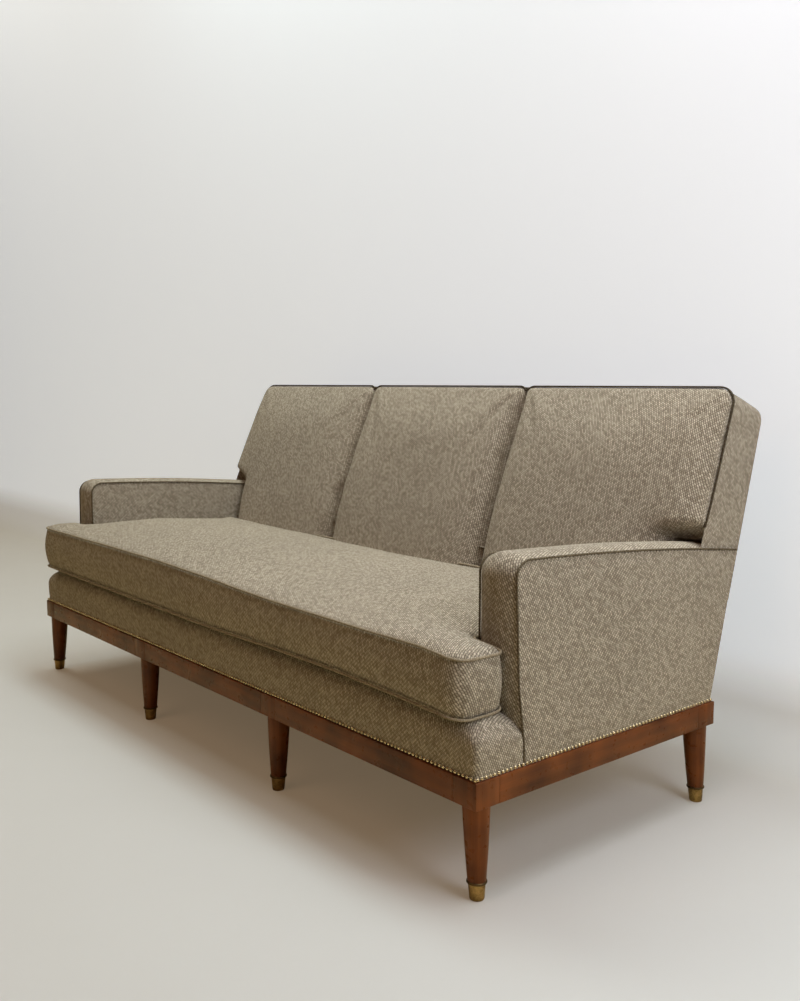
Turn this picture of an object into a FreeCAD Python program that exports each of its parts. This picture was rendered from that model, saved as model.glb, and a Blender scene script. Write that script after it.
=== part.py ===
import FreeCAD, Part
import math
import os

# A three-seater sofa on a polished wooden plinth.
# Eight turned legs with square heads carry the plinth rails, and brass ferrules shoe the legs.
# An upholstered carcase stands on the plinth: arms, a raked back with three crowned pads,
# a padded front border and one loose T-shaped seat cushion that lifts off.
# Millimetres, +Z up, the sofa faces -Y, the origin is on the floor under the middle of the whole.

# Overall sizes
plinth_width = 2000.0
overall_depth = 968.0
overall_height = 925.0
plinth_depth = 736.0
floor_gap = 178.0
front_overhang = 17.0

# Plinth rails, tenons and the square heads of the legs
rail_height = 51.0
rail_thickness = 22.0
head_side = 60.0
tenon_length = 24.0
tenon_thickness = 10.0
tenon_height = 33.0
tenon_setback = 6.0
tenon_clearance = 0.2
leg_bays = 3
turned_sides = 16

# Turned legs and brass ferrules
leg_top_diameter = 52.0
leg_ankle_diameter = 35.0
leg_splay_out = 8.0
leg_splay_forward = 4.0
ferrule_height = 36.0
ferrule_top_diameter = 33.0
ferrule_foot_diameter = 28.0
ferrule_wall = 1.6
ferrule_sole = 4.0
ferrule_edge = 3.0
collar_diameter = 39.0
collar_height = 5.0
spigot_clearance = 0.1

# Upholstery outline
reveal = 6.0
side_lean = 0.0425
arm_front_setback = 119.0
arm_width = 106.0
arm_height = 609.0
arm_fall = 53.0
arm_corner_radius = 32.0
arm_start_slope_degrees = 1.8
arm_band_depth = 3.0
band_stations = 5
arm_crown = 12.0
outside_back_thickness = 10.0
outside_arm_inset = 26.0

# Back
knee_inset = 81.0
knee_z = 449.0
back_top_depth = 112.7
back_side_inset = 4.0
back_rear_drop = 45.0
back_corner_radius = 42.0
pad_layer = 8.0
pad_crown = 34.0
pad_fullness = 2.6
pad_notch_radius = 26.0
pad_gap = 0.4
pad_count = 3
pad_height_shares = (0.0, 0.16, 0.34, 0.58, 0.80, 0.93, 1.0)
pad_crown_shares = (0.30, 0.80, 1.0, 0.97, 0.74, 0.42, 0.12)
pad_shoulder_shares = (0.94, 0.80)

# Piping
piping_radius = 2.75
piping_gap = 0.1
piping_sides = 8
piping_corner_steps = 4

# Seat deck and its padded front border
deck_top = 342.7
border_top_radius = 48.0
border_end_radius = 14.0

# Loose seat cushion
cushion_lift = 0.3
cushion_belly = 3.0
cushion_belly_inset = 12.0
cushion_wall = 107.0
cushion_puff = 5.0
cushion_wall_shares = (0.0, 0.22, 0.5, 0.78, 1.0)
cushion_puff_shares = (0.0, 0.75, 1.0, 0.75, 0.0)
cushion_crown = 17.0
cushion_fullness = 1.7
cushion_ear_inset = 35.0
cushion_front_radius = 35.0
cushion_ear_radius = 18.0
cushion_notch_radius = 16.0
cushion_rear_radius = 25.0
cushion_clearance = 0.5
cushion_station_shares = (0.0, 0.34, 0.67, 0.88, 0.96, 1.0)

# Hardwood carcase
seat_rail_height = 92.0
seat_rail_thickness = 28.0
front_padding = 30.0
arm_padding = 12.0
arm_post_width = 44.0
arm_post_thickness = 28.0
arm_post_setback = 13.0
arm_rail_drop = 40.0
arm_rail_height = 28.0
back_post_depth = 55.0
back_post_padding = 2.0
rear_seat_rail_setback = 27.0
top_rail_height = 46.0
top_rail_drop = 18.0
lower_rail_height = 45.0
lower_rail_rise = 24.0
seat_stretcher_height = 60.0

# Webbing, dust cover, screws and nailhead trim
strap_width = 50.0
strap_thickness = 2.0
long_straps = 9
cross_straps = 3
back_straps_per_bay = 3
dust_cover_thickness = 1.0
cross_rail_height = 45.0
screw_diameter = 5.0
screw_length = 72.0
screw_head_diameter = 10.0
screw_head_height = 3.0
screw_clearance = 0.1
screws_per_rail = 3
screw_sides = 8
screw_head_sides = 6
trim_height = 9.0
trim_thickness = 2.5
trim_lift = 0.5
overrun = 40.0

# Places worked out from the sizes above
plinth_top = floor_gap + rail_height
plinth_front = -overall_depth / 2 + front_overhang
plinth_back = plinth_front + plinth_depth
half_plinth = plinth_width / 2
hem_half = half_plinth - reveal
hem_front = plinth_front + reveal
hem_rear = plinth_back - reveal
arm_front = plinth_front + arm_front_setback
arm_inner_x = hem_half - arm_width
knee_y = hem_rear - knee_inset
corner_leg_x = half_plinth - head_side / 2
leg_xs = [corner_leg_x * (2.0 * i / leg_bays - 1) for i in range(leg_bays + 1)]
leg_names = ("left", "mid_left", "mid_right", "right")
front_leg_y = plinth_front + head_side / 2
rear_leg_y = plinth_back - head_side / 2
back_top_z = overall_height - 2 * piping_radius
front_rake = (overall_depth / 2 - back_top_depth - knee_y) / (back_top_z - knee_z)
front_rake_degrees = math.degrees(math.atan(front_rake))
back_length = (back_top_z - knee_z) / math.cos(math.radians(front_rake_degrees))
frame_inner = arm_inner_x + arm_padding
frame_outer = frame_inner + arm_post_width
seat_rail_top = plinth_top + seat_rail_height
strap_top = seat_rail_top + 2 * strap_thickness
front_rail_front = hem_front + front_padding
front_rail_back = front_rail_front + seat_rail_thickness
post_foot_rear = hem_rear - outside_back_thickness - back_post_padding
rear_rail_back = post_foot_rear - rear_seat_rail_setback
rear_rail_front = rear_rail_back - seat_rail_thickness
cross_rail_top = plinth_top - dust_cover_thickness
piping_stand = piping_radius + piping_gap
piping_diagonal = piping_stand / math.sqrt(2)
tenon_low = floor_gap + (rail_height - tenon_height) / 2
tenon_high = tenon_low + tenon_height
back_rear_y = overall_depth / 2
back_rear_z = back_top_z - back_rear_drop
rear_rake = (back_rear_y - hem_rear) / (back_rear_z - plinth_top)
trim_top = plinth_top + trim_lift + trim_height


def front_line(z):
    """Depth of the raked front plane of the back at height z."""
    return knee_y + (z - knee_z) * front_rake


def rear_line(z):
    """Depth of the raked outside of the back at height z."""
    return hem_rear + (z - plinth_top) * rear_rake


def side_line(z):
    """Half width of the upholstery at height z."""
    return hem_half - (z - plinth_top) * side_lean


def vec(x, y, z):
    return FreeCAD.Vector(x, y, z)


def box(x0, x1, y0, y1, z0, z1):
    """A box between two corners."""
    return Part.makeBox(x1 - x0, y1 - y0, z1 - z0, vec(x0, y0, z0))


def mirrored(shape):
    """The same piece on the other end of the sofa."""
    return shape.mirror(vec(0, 0, 0), vec(1, 0, 0))


def face_of(points):
    """A flat face with straight sides."""
    return Part.Face(Part.makePolygon(points + [points[0]]))


def side_prism(outline, x0, x1):
    """A solid whose side view is the outline of (y, z) points, from x0 to x1."""
    return face_of([vec(x0, y, z) for y, z in outline]).extrude(vec(x1 - x0, 0, 0))


def solid_of(faces):
    """The closed solid inside flat faces that meet edge to edge."""
    shell = Part.Shell(faces)
    shell.sewShape()
    solid = Part.Solid(shell)
    if solid.Volume < 0:
        solid.reverse()
    return solid


def ring(radius, x, y, z, sides):
    """Corners of a regular ring about a point, with a flat side towards +X."""
    turn = 2 * math.pi / sides
    return [vec(x + radius * math.cos(turn * (i + 0.5)), y + radius * math.sin(turn * (i + 0.5)), z)
            for i in range(sides)]


def skin(rings, closed=False):
    """A solid of flat faces through rings of points, capped at both ends unless it closes on itself."""
    count = len(rings[0])
    pairs = list(zip(rings, rings[1:]))
    faces = []
    if closed:
        pairs.append((rings[-1], rings[0]))
    else:
        faces += [face_of(rings[0]), face_of(rings[-1])]
    for low, high in pairs:
        for i in range(count):
            j = (i + 1) % count
            faces.append(face_of([low[i], low[j], high[j], high[i]]))
    return solid_of(faces)


def slid(point, direction, through, normal):
    """The point moved along a direction onto the plane through a point with that normal."""
    return point + direction * ((through - point).dot(normal) / direction.dot(normal))


def cord(points, radius, closed=False):
    """A many-sided piping cord of straight runs that meet in mitres at the points."""
    count = len(points)
    runs = [points[(i + 1) % count] - points[i] for i in range(count if closed else count - 1)]
    for run in runs:
        run.normalize()
    across = runs[0].cross(vec(1, 1, 1))
    across.normalize()
    beside = runs[0].cross(across)
    turn = 2 * math.pi / piping_sides
    start = [points[0] + across * (radius * math.cos(turn * i)) + beside * (radius * math.sin(turn * i))
             for i in range(piping_sides)]
    if closed:
        start = [slid(corner, runs[0], points[0], runs[-1] + runs[0]) for corner in start]
    rings = [start]
    for i in range(1, count):
        normal = runs[i - 1] + runs[i] if i < len(runs) else runs[-1]
        rings.append([slid(corner, runs[i - 1], points[i], normal) for corner in rings[-1]])
    return skin(rings, closed)


def arc_corners(centre_a, centre_b, radius, first, last, steps):
    """Corners of straight runs that touch an arc from outside, as (a, b) points.

    The angle is measured from the b axis towards the a axis.
    """
    step = (last - first) / steps
    reach = radius / math.cos(step / 2)
    turns = [first + step * (i + 0.5) for i in range(steps)]
    return [(centre_a + reach * math.sin(t), centre_b + reach * math.cos(t)) for t in turns]


def one(shape):
    """The single solid of a boolean's result."""
    return shape.Solids[0] if len(shape.Solids) == 1 else shape


def rounded_corner(corners, i, z):
    """Centre, start, middle and end of the arc that rounds one corner of an outline."""
    x, y, radius = corners[i]
    here = vec(x, y, z)
    back = vec(corners[i - 1][0], corners[i - 1][1], z) - here
    ahead = vec(corners[(i + 1) % len(corners)][0], corners[(i + 1) % len(corners)][1], z) - here
    back.normalize()
    ahead.normalize()
    half = back.getAngle(ahead) / 2
    inward = back + ahead
    inward.normalize()
    centre = here + inward * (radius / math.sin(half))
    reach = radius / math.tan(half)
    return centre, here + back * reach, centre - inward * radius, here + ahead * reach


def rounded_outline(corners, z):
    """A closed wire at height z through (x, y, radius) corners with tangent arcs."""
    edges = []
    arcs = [rounded_corner(corners, i, z) for i in range(len(corners))]
    for i in range(len(arcs)):
        centre, start, middle, end = arcs[i]
        edges.append(Part.Arc(start, middle, end).toShape())
        edges.append(Part.LineSegment(end, arcs[(i + 1) % len(arcs)][1]).toShape())
    return Part.Wire(edges)


def outline_corners(corners, z):
    """The same outline as corners of straight runs that touch its arcs from outside."""
    points = []
    for i in range(len(corners)):
        centre, start, middle, end = rounded_corner(corners, i, z)
        spoke = start - centre
        last = end - centre
        side = 1 if spoke.cross(last).z > 0 else -1
        step = side * math.degrees(spoke.getAngle(last)) / piping_corner_steps
        stretch = 1 / math.cos(math.radians(step / 2))
        for k in range(piping_corner_steps):
            turn = FreeCAD.Rotation(vec(0, 0, 1), step * (k + 0.5))
            points.append(centre + turn.multVec(spoke) * stretch)
    return points


def write(name, shape):
    """Write one sub-part and say how many solids it holds."""
    shape.exportStep("parts/" + name + ".step")
    print(name, len(shape.Solids), "valid" if shape.isValid() else "NOT VALID", round(shape.Volume))


# Legs and ferrules

def turned(profile, x, y, side, end):
    """A splayed turned piece from (radius, height) points; side and end are -1, 0 or 1."""
    rings = []
    for radius, z in profile:
        share = (floor_gap - z) / floor_gap
        rings.append(ring(radius, x + side * leg_splay_out * share, y + end * leg_splay_forward * share, z,
                          turned_sides))
    return skin(rings)


def leg_radius(z):
    """Radius of the tapered leg at height z."""
    share = (z - ferrule_height) / (floor_gap - ferrule_height)
    return (leg_ankle_diameter + (leg_top_diameter - leg_ankle_diameter) * share) / 2


def ferrule_radius(z):
    """Outside radius of the brass cup at height z."""
    share = z / ferrule_height
    return (ferrule_foot_diameter + (ferrule_top_diameter - ferrule_foot_diameter) * share) / 2


def leg_profile():
    """Spigot for the ferrule, and the taper up to the plinth."""
    inside = ferrule_wall + spigot_clearance
    return [
        (ferrule_radius(ferrule_sole) - inside, ferrule_sole + spigot_clearance),
        (ferrule_radius(ferrule_height) - inside, ferrule_height + spigot_clearance),
        (leg_radius(ferrule_height), ferrule_height + spigot_clearance),
        (leg_radius(floor_gap), floor_gap),
    ]


def ferrule_profile():
    """Outside from the sole up to the collar, and back down inside the cup."""
    shoulder = ferrule_height - collar_height
    bead = collar_diameter / 2
    round_off = collar_height / 4
    return [
        (ferrule_foot_diameter / 2 - ferrule_edge, 0),
        (ferrule_radius(ferrule_edge), ferrule_edge),
        (ferrule_radius(shoulder), shoulder),
        (bead - round_off, shoulder),
        (bead, shoulder + round_off),
        (bead, ferrule_height - round_off),
        (bead - round_off, ferrule_height),
        (ferrule_radius(ferrule_height) - ferrule_wall, ferrule_height),
        (ferrule_radius(ferrule_sole) - ferrule_wall, ferrule_sole),
    ]


def tenon_span(outer_face, inward):
    """The two sides of a tenon set back from an outer face; inward is +1 or -1."""
    near = outer_face + inward * tenon_setback
    far = near + inward * tenon_thickness
    return min(near, far), max(near, far)


def rail_along_x(x0, x1, outer_face, inward, grow, with_body):
    """A long rail with a tenon at each end; grow widens the tenons to cut mortises."""
    t0, t1 = tenon_span(outer_face, inward)
    reach = tenon_length + grow
    tenons = box(x0 - reach, x1 + reach, t0 - grow, t1 + grow, tenon_low - grow, tenon_high + grow)
    if not with_body:
        return tenons
    far = outer_face + inward * rail_thickness
    body = box(x0, x1, min(outer_face, far), max(outer_face, far), floor_gap, plinth_top)
    return body.fuse(tenons).removeSplitter()


def rail_along_y(y0, y1, outer_face, inward, grow, with_body):
    """An end rail with a tenon at each end; grow widens the tenons to cut mortises."""
    t0, t1 = tenon_span(outer_face, inward)
    reach = tenon_length + grow
    tenons = box(t0 - grow, t1 + grow, y0 - reach, y1 + reach, tenon_low - grow, tenon_high + grow)
    if not with_body:
        return tenons
    far = outer_face + inward * rail_thickness
    body = box(min(outer_face, far), max(outer_face, far), y0, y1, floor_gap, plinth_top)
    return body.fuse(tenons).removeSplitter()


def cross_rail(x, grow, with_body):
    """A rail from a front leg's head to a rear one, under the dust cover."""
    y0 = plinth_front + head_side
    y1 = plinth_back - head_side
    reach = tenon_length + grow
    half = tenon_thickness / 2 + grow
    tenons = box(x - half, x + half, y0 - reach, y1 + reach, tenon_low - grow, tenon_high + grow)
    if not with_body:
        return tenons
    half = rail_thickness / 2
    body = box(x - half, x + half, y0, y1, cross_rail_top - cross_rail_height, cross_rail_top)
    return body.fuse(tenons).removeSplitter()


def plinth_rails(grow, with_body):
    """Every rail of the plinth by name, or the tenons alone to cut the mortises."""
    rails = {}
    for i, bay in enumerate(("left", "middle", "right")):
        x0 = leg_xs[i] + head_side / 2
        x1 = leg_xs[i + 1] - head_side / 2
        rails["front_rail_" + bay] = rail_along_x(x0, x1, plinth_front, 1, grow, with_body)
        rails["rear_rail_" + bay] = rail_along_x(x0, x1, plinth_back, -1, grow, with_body)
    y0 = plinth_front + head_side
    y1 = plinth_back - head_side
    rails["side_rail_left"] = rail_along_y(y0, y1, -half_plinth, 1, grow, with_body)
    rails["side_rail_right"] = rail_along_y(y0, y1, half_plinth, -1, grow, with_body)
    rails["cross_rail_left"] = cross_rail(leg_xs[1], grow, with_body)
    rails["cross_rail_right"] = cross_rail(leg_xs[2], grow, with_body)
    return rails


def screw_places():
    """Places of the screws that hold the carcase down, on the two cross rails."""
    y0 = plinth_front + head_side
    step = (plinth_depth - 2 * head_side) / screws_per_rail
    return [(x, y0 + step * (j + 0.5)) for x in leg_xs[1:3] for j in range(screws_per_rail)]


def screws(grow):
    """The screws, or with grow the holes that clear them."""
    low = cross_rail_top - cross_rail_height - grow
    high = low + screw_length + 2 * grow
    group = []
    for x, y in screw_places():
        head = screw_head_diameter / 2 + grow
        shank = screw_diameter / 2 + grow
        under = low + screw_head_height + 2 * grow
        top = skin([ring(shank, x, y, under, screw_sides), ring(shank, x, y, high, screw_sides)])
        bolt = skin([ring(head, x, y, low, screw_head_sides), ring(head, x, y, under, screw_head_sides)])
        group.append(bolt.fuse(top).removeSplitter())
    return group


def make_base():
    """Legs, ferrules, plinth rails, dust cover and screws."""
    mortises = Part.makeCompound(list(plinth_rails(tenon_clearance, False).values()))
    holes = Part.makeCompound(screws(screw_clearance))
    pieces = {}
    ferrules = {"front": [], "rear": []}
    for row, y, end in (("front", front_leg_y, -1), ("rear", rear_leg_y, 1)):
        for x, name in zip(leg_xs, leg_names):
            side = round(x / corner_leg_x) if abs(x) > corner_leg_x / 2 else 0
            stem = turned(leg_profile(), x, y, side, end)
            half = head_side / 2
            head = box(x - half, x + half, y - half, y + half, floor_gap, plinth_top)
            pieces["leg_" + row + "_" + name] = one(head.cut(mortises).fuse(stem).removeSplitter())
            ferrules[row].append(turned(ferrule_profile(), x, y, side, end))
    for row in ferrules:
        pieces["ferrules_" + row] = Part.makeCompound(ferrules[row])
    rails = plinth_rails(0, True)
    for name in rails:
        pieces[name] = one(rails[name].cut(holes)) if name.startswith("cross") else rails[name]
    pieces["plinth_screws"] = Part.makeCompound(screws(0))
    inner_x = half_plinth - head_side
    cover = box(-inner_x, inner_x, plinth_front + head_side, plinth_back - head_side,
                cross_rail_top, plinth_top)
    pieces["dust_cover"] = one(cover.cut(holes))
    return pieces


# Hardwood carcase

def post_outline(z0, z1):
    """Side view of a raked back post from z0 to z1, upright where it meets the rear seat rail."""
    rear = outside_back_thickness + back_post_padding
    front = rear + back_post_depth
    knee = seat_rail_top
    outline = [(rear_rail_back, z0), (rear_line(z0) - rear, z0), (rear_line(z1) - rear, z1)]
    outline += [(rear_line(z1) - front, z1), (rear_line(knee) - front, knee), (rear_rail_back, knee)]
    return outline


def raked_bar(z0, z1, near, far):
    """Side view of a bar between two planes that lie near and far inside the raked outside."""
    return [(rear_line(z0) - near, z0), (rear_line(z1) - near, z1), (rear_line(z1) - far, z1),
            (rear_line(z0) - far, z0)]


back_near = outside_back_thickness + back_post_padding
back_far = back_near + back_post_depth
top_rail_top = back_rear_z - top_rail_drop
top_rail_low = top_rail_top - top_rail_height
lower_rail_low = knee_z + lower_rail_rise
lower_rail_top = lower_rail_low + lower_rail_height


def channel_x(i):
    """Where the back's channels lie, counted from the left end."""
    return side_line(knee_z) * (2.0 * i / pad_count - 1)


def post_xs():
    """The left side of each back post."""
    middles = [channel_x(i) - seat_rail_thickness / 2 for i in range(1, pad_count)]
    return [-frame_outer] + middles + [frame_outer - seat_rail_thickness]


def make_carcase():
    """The hardwood seat, arm and back frames."""
    pieces = {}
    pieces["seat_rail_front"] = box(-frame_outer, frame_outer, front_rail_front, front_rail_back,
                                    plinth_top, seat_rail_top)
    pieces["seat_rail_rear"] = box(-frame_outer, frame_outer, rear_rail_front, rear_rail_back,
                                   plinth_top, seat_rail_top)
    inner = frame_inner - seat_rail_thickness
    right = box(inner, frame_inner, front_rail_back, rear_rail_front, plinth_top, seat_rail_top)
    pieces["seat_rail_right"] = right
    pieces["seat_rail_left"] = mirrored(right)
    holes = Part.makeCompound(screws(screw_clearance))
    for x, name in zip(leg_xs[1:3], ("left", "right")):
        half = seat_rail_thickness / 2
        bar = box(x - half, x + half, front_rail_back, rear_rail_front, plinth_top,
                  plinth_top + seat_stretcher_height)
        pieces["seat_stretcher_" + name] = one(bar.cut(holes))
    post_y = arm_front + arm_post_setback
    rail_low = arm_height - arm_fall - arm_rail_drop - arm_rail_height
    post_top = rail_low + arm_rail_height
    post = box(frame_inner, frame_outer, post_y, post_y + arm_post_thickness, plinth_top, post_top)
    pieces["arm_post_right"] = post
    pieces["arm_post_left"] = mirrored(post)
    rail_outline = [(post_y + arm_post_thickness, rail_low), (rear_line(rail_low) - back_far, rail_low),
                    (rear_line(post_top) - back_far, post_top), (post_y + arm_post_thickness, post_top)]
    rail = side_prism(rail_outline, frame_outer - seat_rail_thickness, frame_outer)
    pieces["arm_rail_right"] = rail
    pieces["arm_rail_left"] = mirrored(rail)
    outline = post_outline(plinth_top, top_rail_low)
    for x, name in zip(post_xs(), leg_names):
        pieces["back_post_" + name] = side_prism(outline, x, x + seat_rail_thickness)
    bar = raked_bar(top_rail_low, top_rail_top, back_near, back_far)
    pieces["back_rail_top"] = side_prism(bar, -frame_outer, frame_outer)
    bar = raked_bar(lower_rail_low, lower_rail_top, back_near + back_post_depth / 2, back_far)
    xs = post_xs()
    group = [side_prism(bar, xs[i] + seat_rail_thickness, xs[i + 1]) for i in range(pad_count)]
    pieces["back_rails_lower"] = Part.makeCompound(group)
    return pieces


def make_webbing():
    """Seat straps on top of the seat rails, back straps on the front of the back frame."""
    low = seat_rail_top
    mid = low + strap_thickness
    group = []
    inner = frame_inner - seat_rail_thickness
    step = 2 * inner / long_straps
    for i in range(long_straps):
        x = -inner + step * (i + 0.5) - strap_width / 2
        group.append(box(x, x + strap_width, front_rail_front, rear_rail_back, low, mid))
    step = (rear_rail_front - front_rail_back) / cross_straps
    for j in range(cross_straps):
        y = front_rail_back + step * (j + 0.5) - strap_width / 2
        strap = box(-frame_inner, frame_inner, y, y + strap_width, mid, mid + strap_thickness)
        folds = [box(inner, frame_inner, y, y + strap_width, low, mid),
                 box(-frame_inner, -inner, y, y + strap_width, low, mid)]
        group.append(strap.fuse(folds).removeSplitter())
    back = []
    bar = raked_bar(lower_rail_low, top_rail_top, back_far, back_far + strap_thickness)
    xs = post_xs()
    for i in range(pad_count):
        left = xs[i] + seat_rail_thickness
        step = (xs[i + 1] - left) / back_straps_per_bay
        for j in range(back_straps_per_bay):
            x = left + step * (j + 0.5) - strap_width / 2
            back.append(side_prism(bar, x, x + strap_width))
    return {"seat_webbing": Part.makeCompound(group), "back_webbing": Part.makeCompound(back)}


# Arms

def arm_top():
    """Centre, radius and end angles of the large arc along the top of the arm, in the side view."""
    slope = math.radians(arm_start_slope_degrees)
    start_y = arm_front + arm_corner_radius * (1 + math.sin(slope))
    end_z = arm_height - arm_fall
    run = rear_line(end_z) - outside_back_thickness - start_y
    chord = math.atan2(arm_fall, run)
    radius = math.hypot(arm_fall, run) / (2 * math.sin(chord - slope))
    return start_y - radius * math.sin(slope), arm_height - radius * math.cos(slope), radius, slope, \
        2 * chord - slope


def arm_height_at(y):
    """Height of the arm's seam line at a depth behind its rounded front corner."""
    centre_y, centre_z, radius = arm_top()[:3]
    return centre_z + math.sqrt(radius ** 2 - (y - centre_y) ** 2)


def arm_meets_back():
    """Height of the arm's seam line where it runs into the raked front of the back."""
    z = arm_height
    for step in range(band_stations):
        z = arm_height_at(front_line(z))
    return z


def arm_corner_centre():
    """Centre of the rounded front corner of the arm in the side view."""
    slope = math.radians(arm_start_slope_degrees)
    return arm_front + arm_corner_radius, arm_height - arm_corner_radius * math.cos(slope)


def arm_path(grow, x):
    """Edges of the arm's side outline from the plinth to the rear of its top, moved out by grow, at x."""
    def arc(centre_y, centre_z, radius, first, last):
        points = [vec(x, centre_y + radius * math.sin(t), centre_z + radius * math.cos(t))
                  for t in (first, (first + last) / 2, last)]
        return Part.Arc(points[0], points[1], points[2]).toShape()

    top_y, top_z, radius, first, last = arm_top()
    corner_y, corner_z = arm_corner_centre()
    corner = arc(corner_y, corner_z, arm_corner_radius + grow, -math.pi / 2, first)
    top = arc(top_y, top_z, radius + grow, first, last)
    start = corner.Vertexes[0].Point
    return [Part.LineSegment(vec(x, start.y, plinth_top), start).toShape(), corner, top]


def arm_seam(foot_z, whole):
    """Depth and height of the corners of a cord beside the arm's seam, from its foot up and back.

    The cord runs to the rear of the arm when whole, and otherwise to the front of the back.
    """
    top_y, top_z, radius, first, last = arm_top()
    if not whole:
        last = math.asin((front_line(arm_meets_back()) - top_y) / radius)
    corner_y, corner_z = arm_corner_centre()
    grow = piping_diagonal
    seam = [(arm_front - grow, foot_z)]
    seam += arc_corners(corner_y, corner_z, arm_corner_radius + grow, -math.pi / 2, first, band_stations)
    seam += arc_corners(top_y, top_z, radius + grow, first, last, band_stations)
    seam.append((top_y + (radius + grow) * math.sin(last), top_z + (radius + grow) * math.cos(last)))
    return seam


def inner_cord(radius):
    """The cord along the inner seam of the arm's band, from the deck to the back."""
    return cord([vec(arm_inner_x - piping_diagonal, y, z) for y, z in arm_seam(deck_top, False)], radius)


def arm_prism(grow, x0, x1):
    """The arm's side outline as a solid from x0 to x1, back to the outside back."""
    edges = arm_path(grow, x0)
    end = edges[2].Vertexes[1].Point
    foot = edges[0].Vertexes[0].Point
    heel = vec(x0, rear_line(plinth_top) - outside_back_thickness, plinth_top)
    top = vec(x0, rear_line(end.z) - outside_back_thickness, end.z)
    closing = [Part.LineSegment(top, heel).toShape(), Part.LineSegment(heel, foot).toShape()]
    if (top - end).Length > piping_gap:
        closing.insert(0, Part.LineSegment(end, top).toShape())
    else:
        closing[0] = Part.LineSegment(end, heel).toShape()
    return Part.Face(Part.Wire(edges + closing)).extrude(vec(x1 - x0, 0, 0))


def band_section(y, z, turn):
    """Crowned cross-section of the arm's band at y, z; turn is the way the seam line faces."""
    outer = side_line(z)
    out = vec(0, math.sin(turn), math.cos(turn))
    inner_seam = vec(arm_inner_x, y, z)
    outer_seam = vec(outer, y, z)
    crown = vec((arm_inner_x + outer) / 2, y, z) + out * arm_crown
    a = inner_seam - out * arm_band_depth
    e = outer_seam - out * arm_band_depth
    edges = [Part.LineSegment(a, inner_seam).toShape(), Part.Arc(inner_seam, crown, outer_seam).toShape(),
             Part.LineSegment(outer_seam, e).toShape(), Part.LineSegment(e, a).toShape()]
    return Part.Wire(edges)


def back_space():
    """The space behind the raked front of the back, which the arm's band runs up to."""
    high = overall_height + overrun
    far = overall_depth
    outline = [(knee_y, 0), (knee_y, knee_z), (front_line(high), high), (far, high), (far, 0)]
    return side_prism(outline, -plinth_width, plinth_width)


def arm_band():
    """The crowned strip up the front of the arm and over its top."""
    corner_y, corner_z = arm_corner_centre()
    top_y, top_z, radius, first, last = arm_top()
    rise = (corner_z - plinth_top) / band_stations
    upright = [band_section(arm_front, plinth_top + rise * i, -math.pi / 2)
               for i in range(band_stations + 1)]
    runs = [Part.makeLoft(upright, True, True)]
    arcs = ((corner_y, corner_z, arm_corner_radius, -math.pi / 2, first),
            (top_y, top_z, radius, first, last))
    for centre_y, centre_z, reach, begin, finish in arcs:
        turns = [begin + (finish - begin) * i / band_stations for i in range(band_stations + 1)]
        sections = [band_section(centre_y + reach * math.sin(t), centre_z + reach * math.cos(t), t)
                    for t in turns]
        runs.append(Part.makeLoft(sections, True, True))
    return runs[0].fuse(runs[1:]).cut(back_space())


def outer_cord():
    """The cord along the outer seam of the arm's band, from the nailhead trim to the rear."""
    return cord([vec(side_line(z) + piping_diagonal, y, z) for y, z in arm_seam(trim_top, True)],
                piping_radius)


def make_arms(carcase, webbing):
    """Padded cores, crowned bands, outside panels and piping of both arms."""
    pieces = {}
    panel_x = hem_half - outside_arm_inset
    frame = Part.makeCompound([carcase[name] for name in carcase] + [webbing["seat_webbing"]])
    border_space = box(-plinth_width, plinth_width, -overall_depth, arm_front + arm_band_depth,
                       0, plinth_top)
    band = one(arm_band().cut(frame))
    core = arm_prism(-arm_band_depth, arm_inner_x, panel_x).cut(frame).cut(border_space).cut(band)
    lean = face_of([vec(frame_outer, -overall_depth, plinth_top),
                    vec(side_line(plinth_top), -overall_depth, plinth_top),
                    vec(side_line(overall_height), -overall_depth, overall_height),
                    vec(frame_outer, -overall_depth, overall_height)])
    lean = lean.extrude(vec(0, 2 * overall_depth, 0))
    panel = arm_prism(-arm_band_depth, panel_x, plinth_width).common(lean).cut(band)
    right = {"arm_core": one(core), "arm_band": band, "outside_arm": one(panel),
             "arm_piping": Part.makeCompound([inner_cord(piping_radius), outer_cord()])}
    for name in right:
        pieces[name + "_right"] = right[name]
        pieces[name + "_left"] = mirrored(right[name])
    return pieces


# Back, in its own upright frame: x across, y into the back, z up along the rake

def raked(shape):
    """Lean a shape of the back's own frame into its place on the sofa."""
    turn = FreeCAD.Rotation(vec(1, 0, 0), -front_rake_degrees)
    shape.Placement = FreeCAD.Placement(vec(0, knee_y, knee_z), turn)
    return shape


def back_half(length):
    """Half width of the back at a length up the rake from the knee."""
    z = knee_z + length * math.cos(math.radians(front_rake_degrees))
    return side_line(z) - back_side_inset


def pad_sides(i, length):
    """Left and right side of a pad at a length up the rake."""
    left = channel_x(i) + pad_gap / 2
    right = channel_x(i + 1) - pad_gap / 2
    if i == 0:
        left = -back_half(length)
    if i == pad_count - 1:
        right = back_half(length)
    return left, right


def bulge(share, fullness):
    """Height of a full rounded crown at a share of its half width."""
    return (1 - abs(share) ** fullness) ** (1 / fullness)


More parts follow.
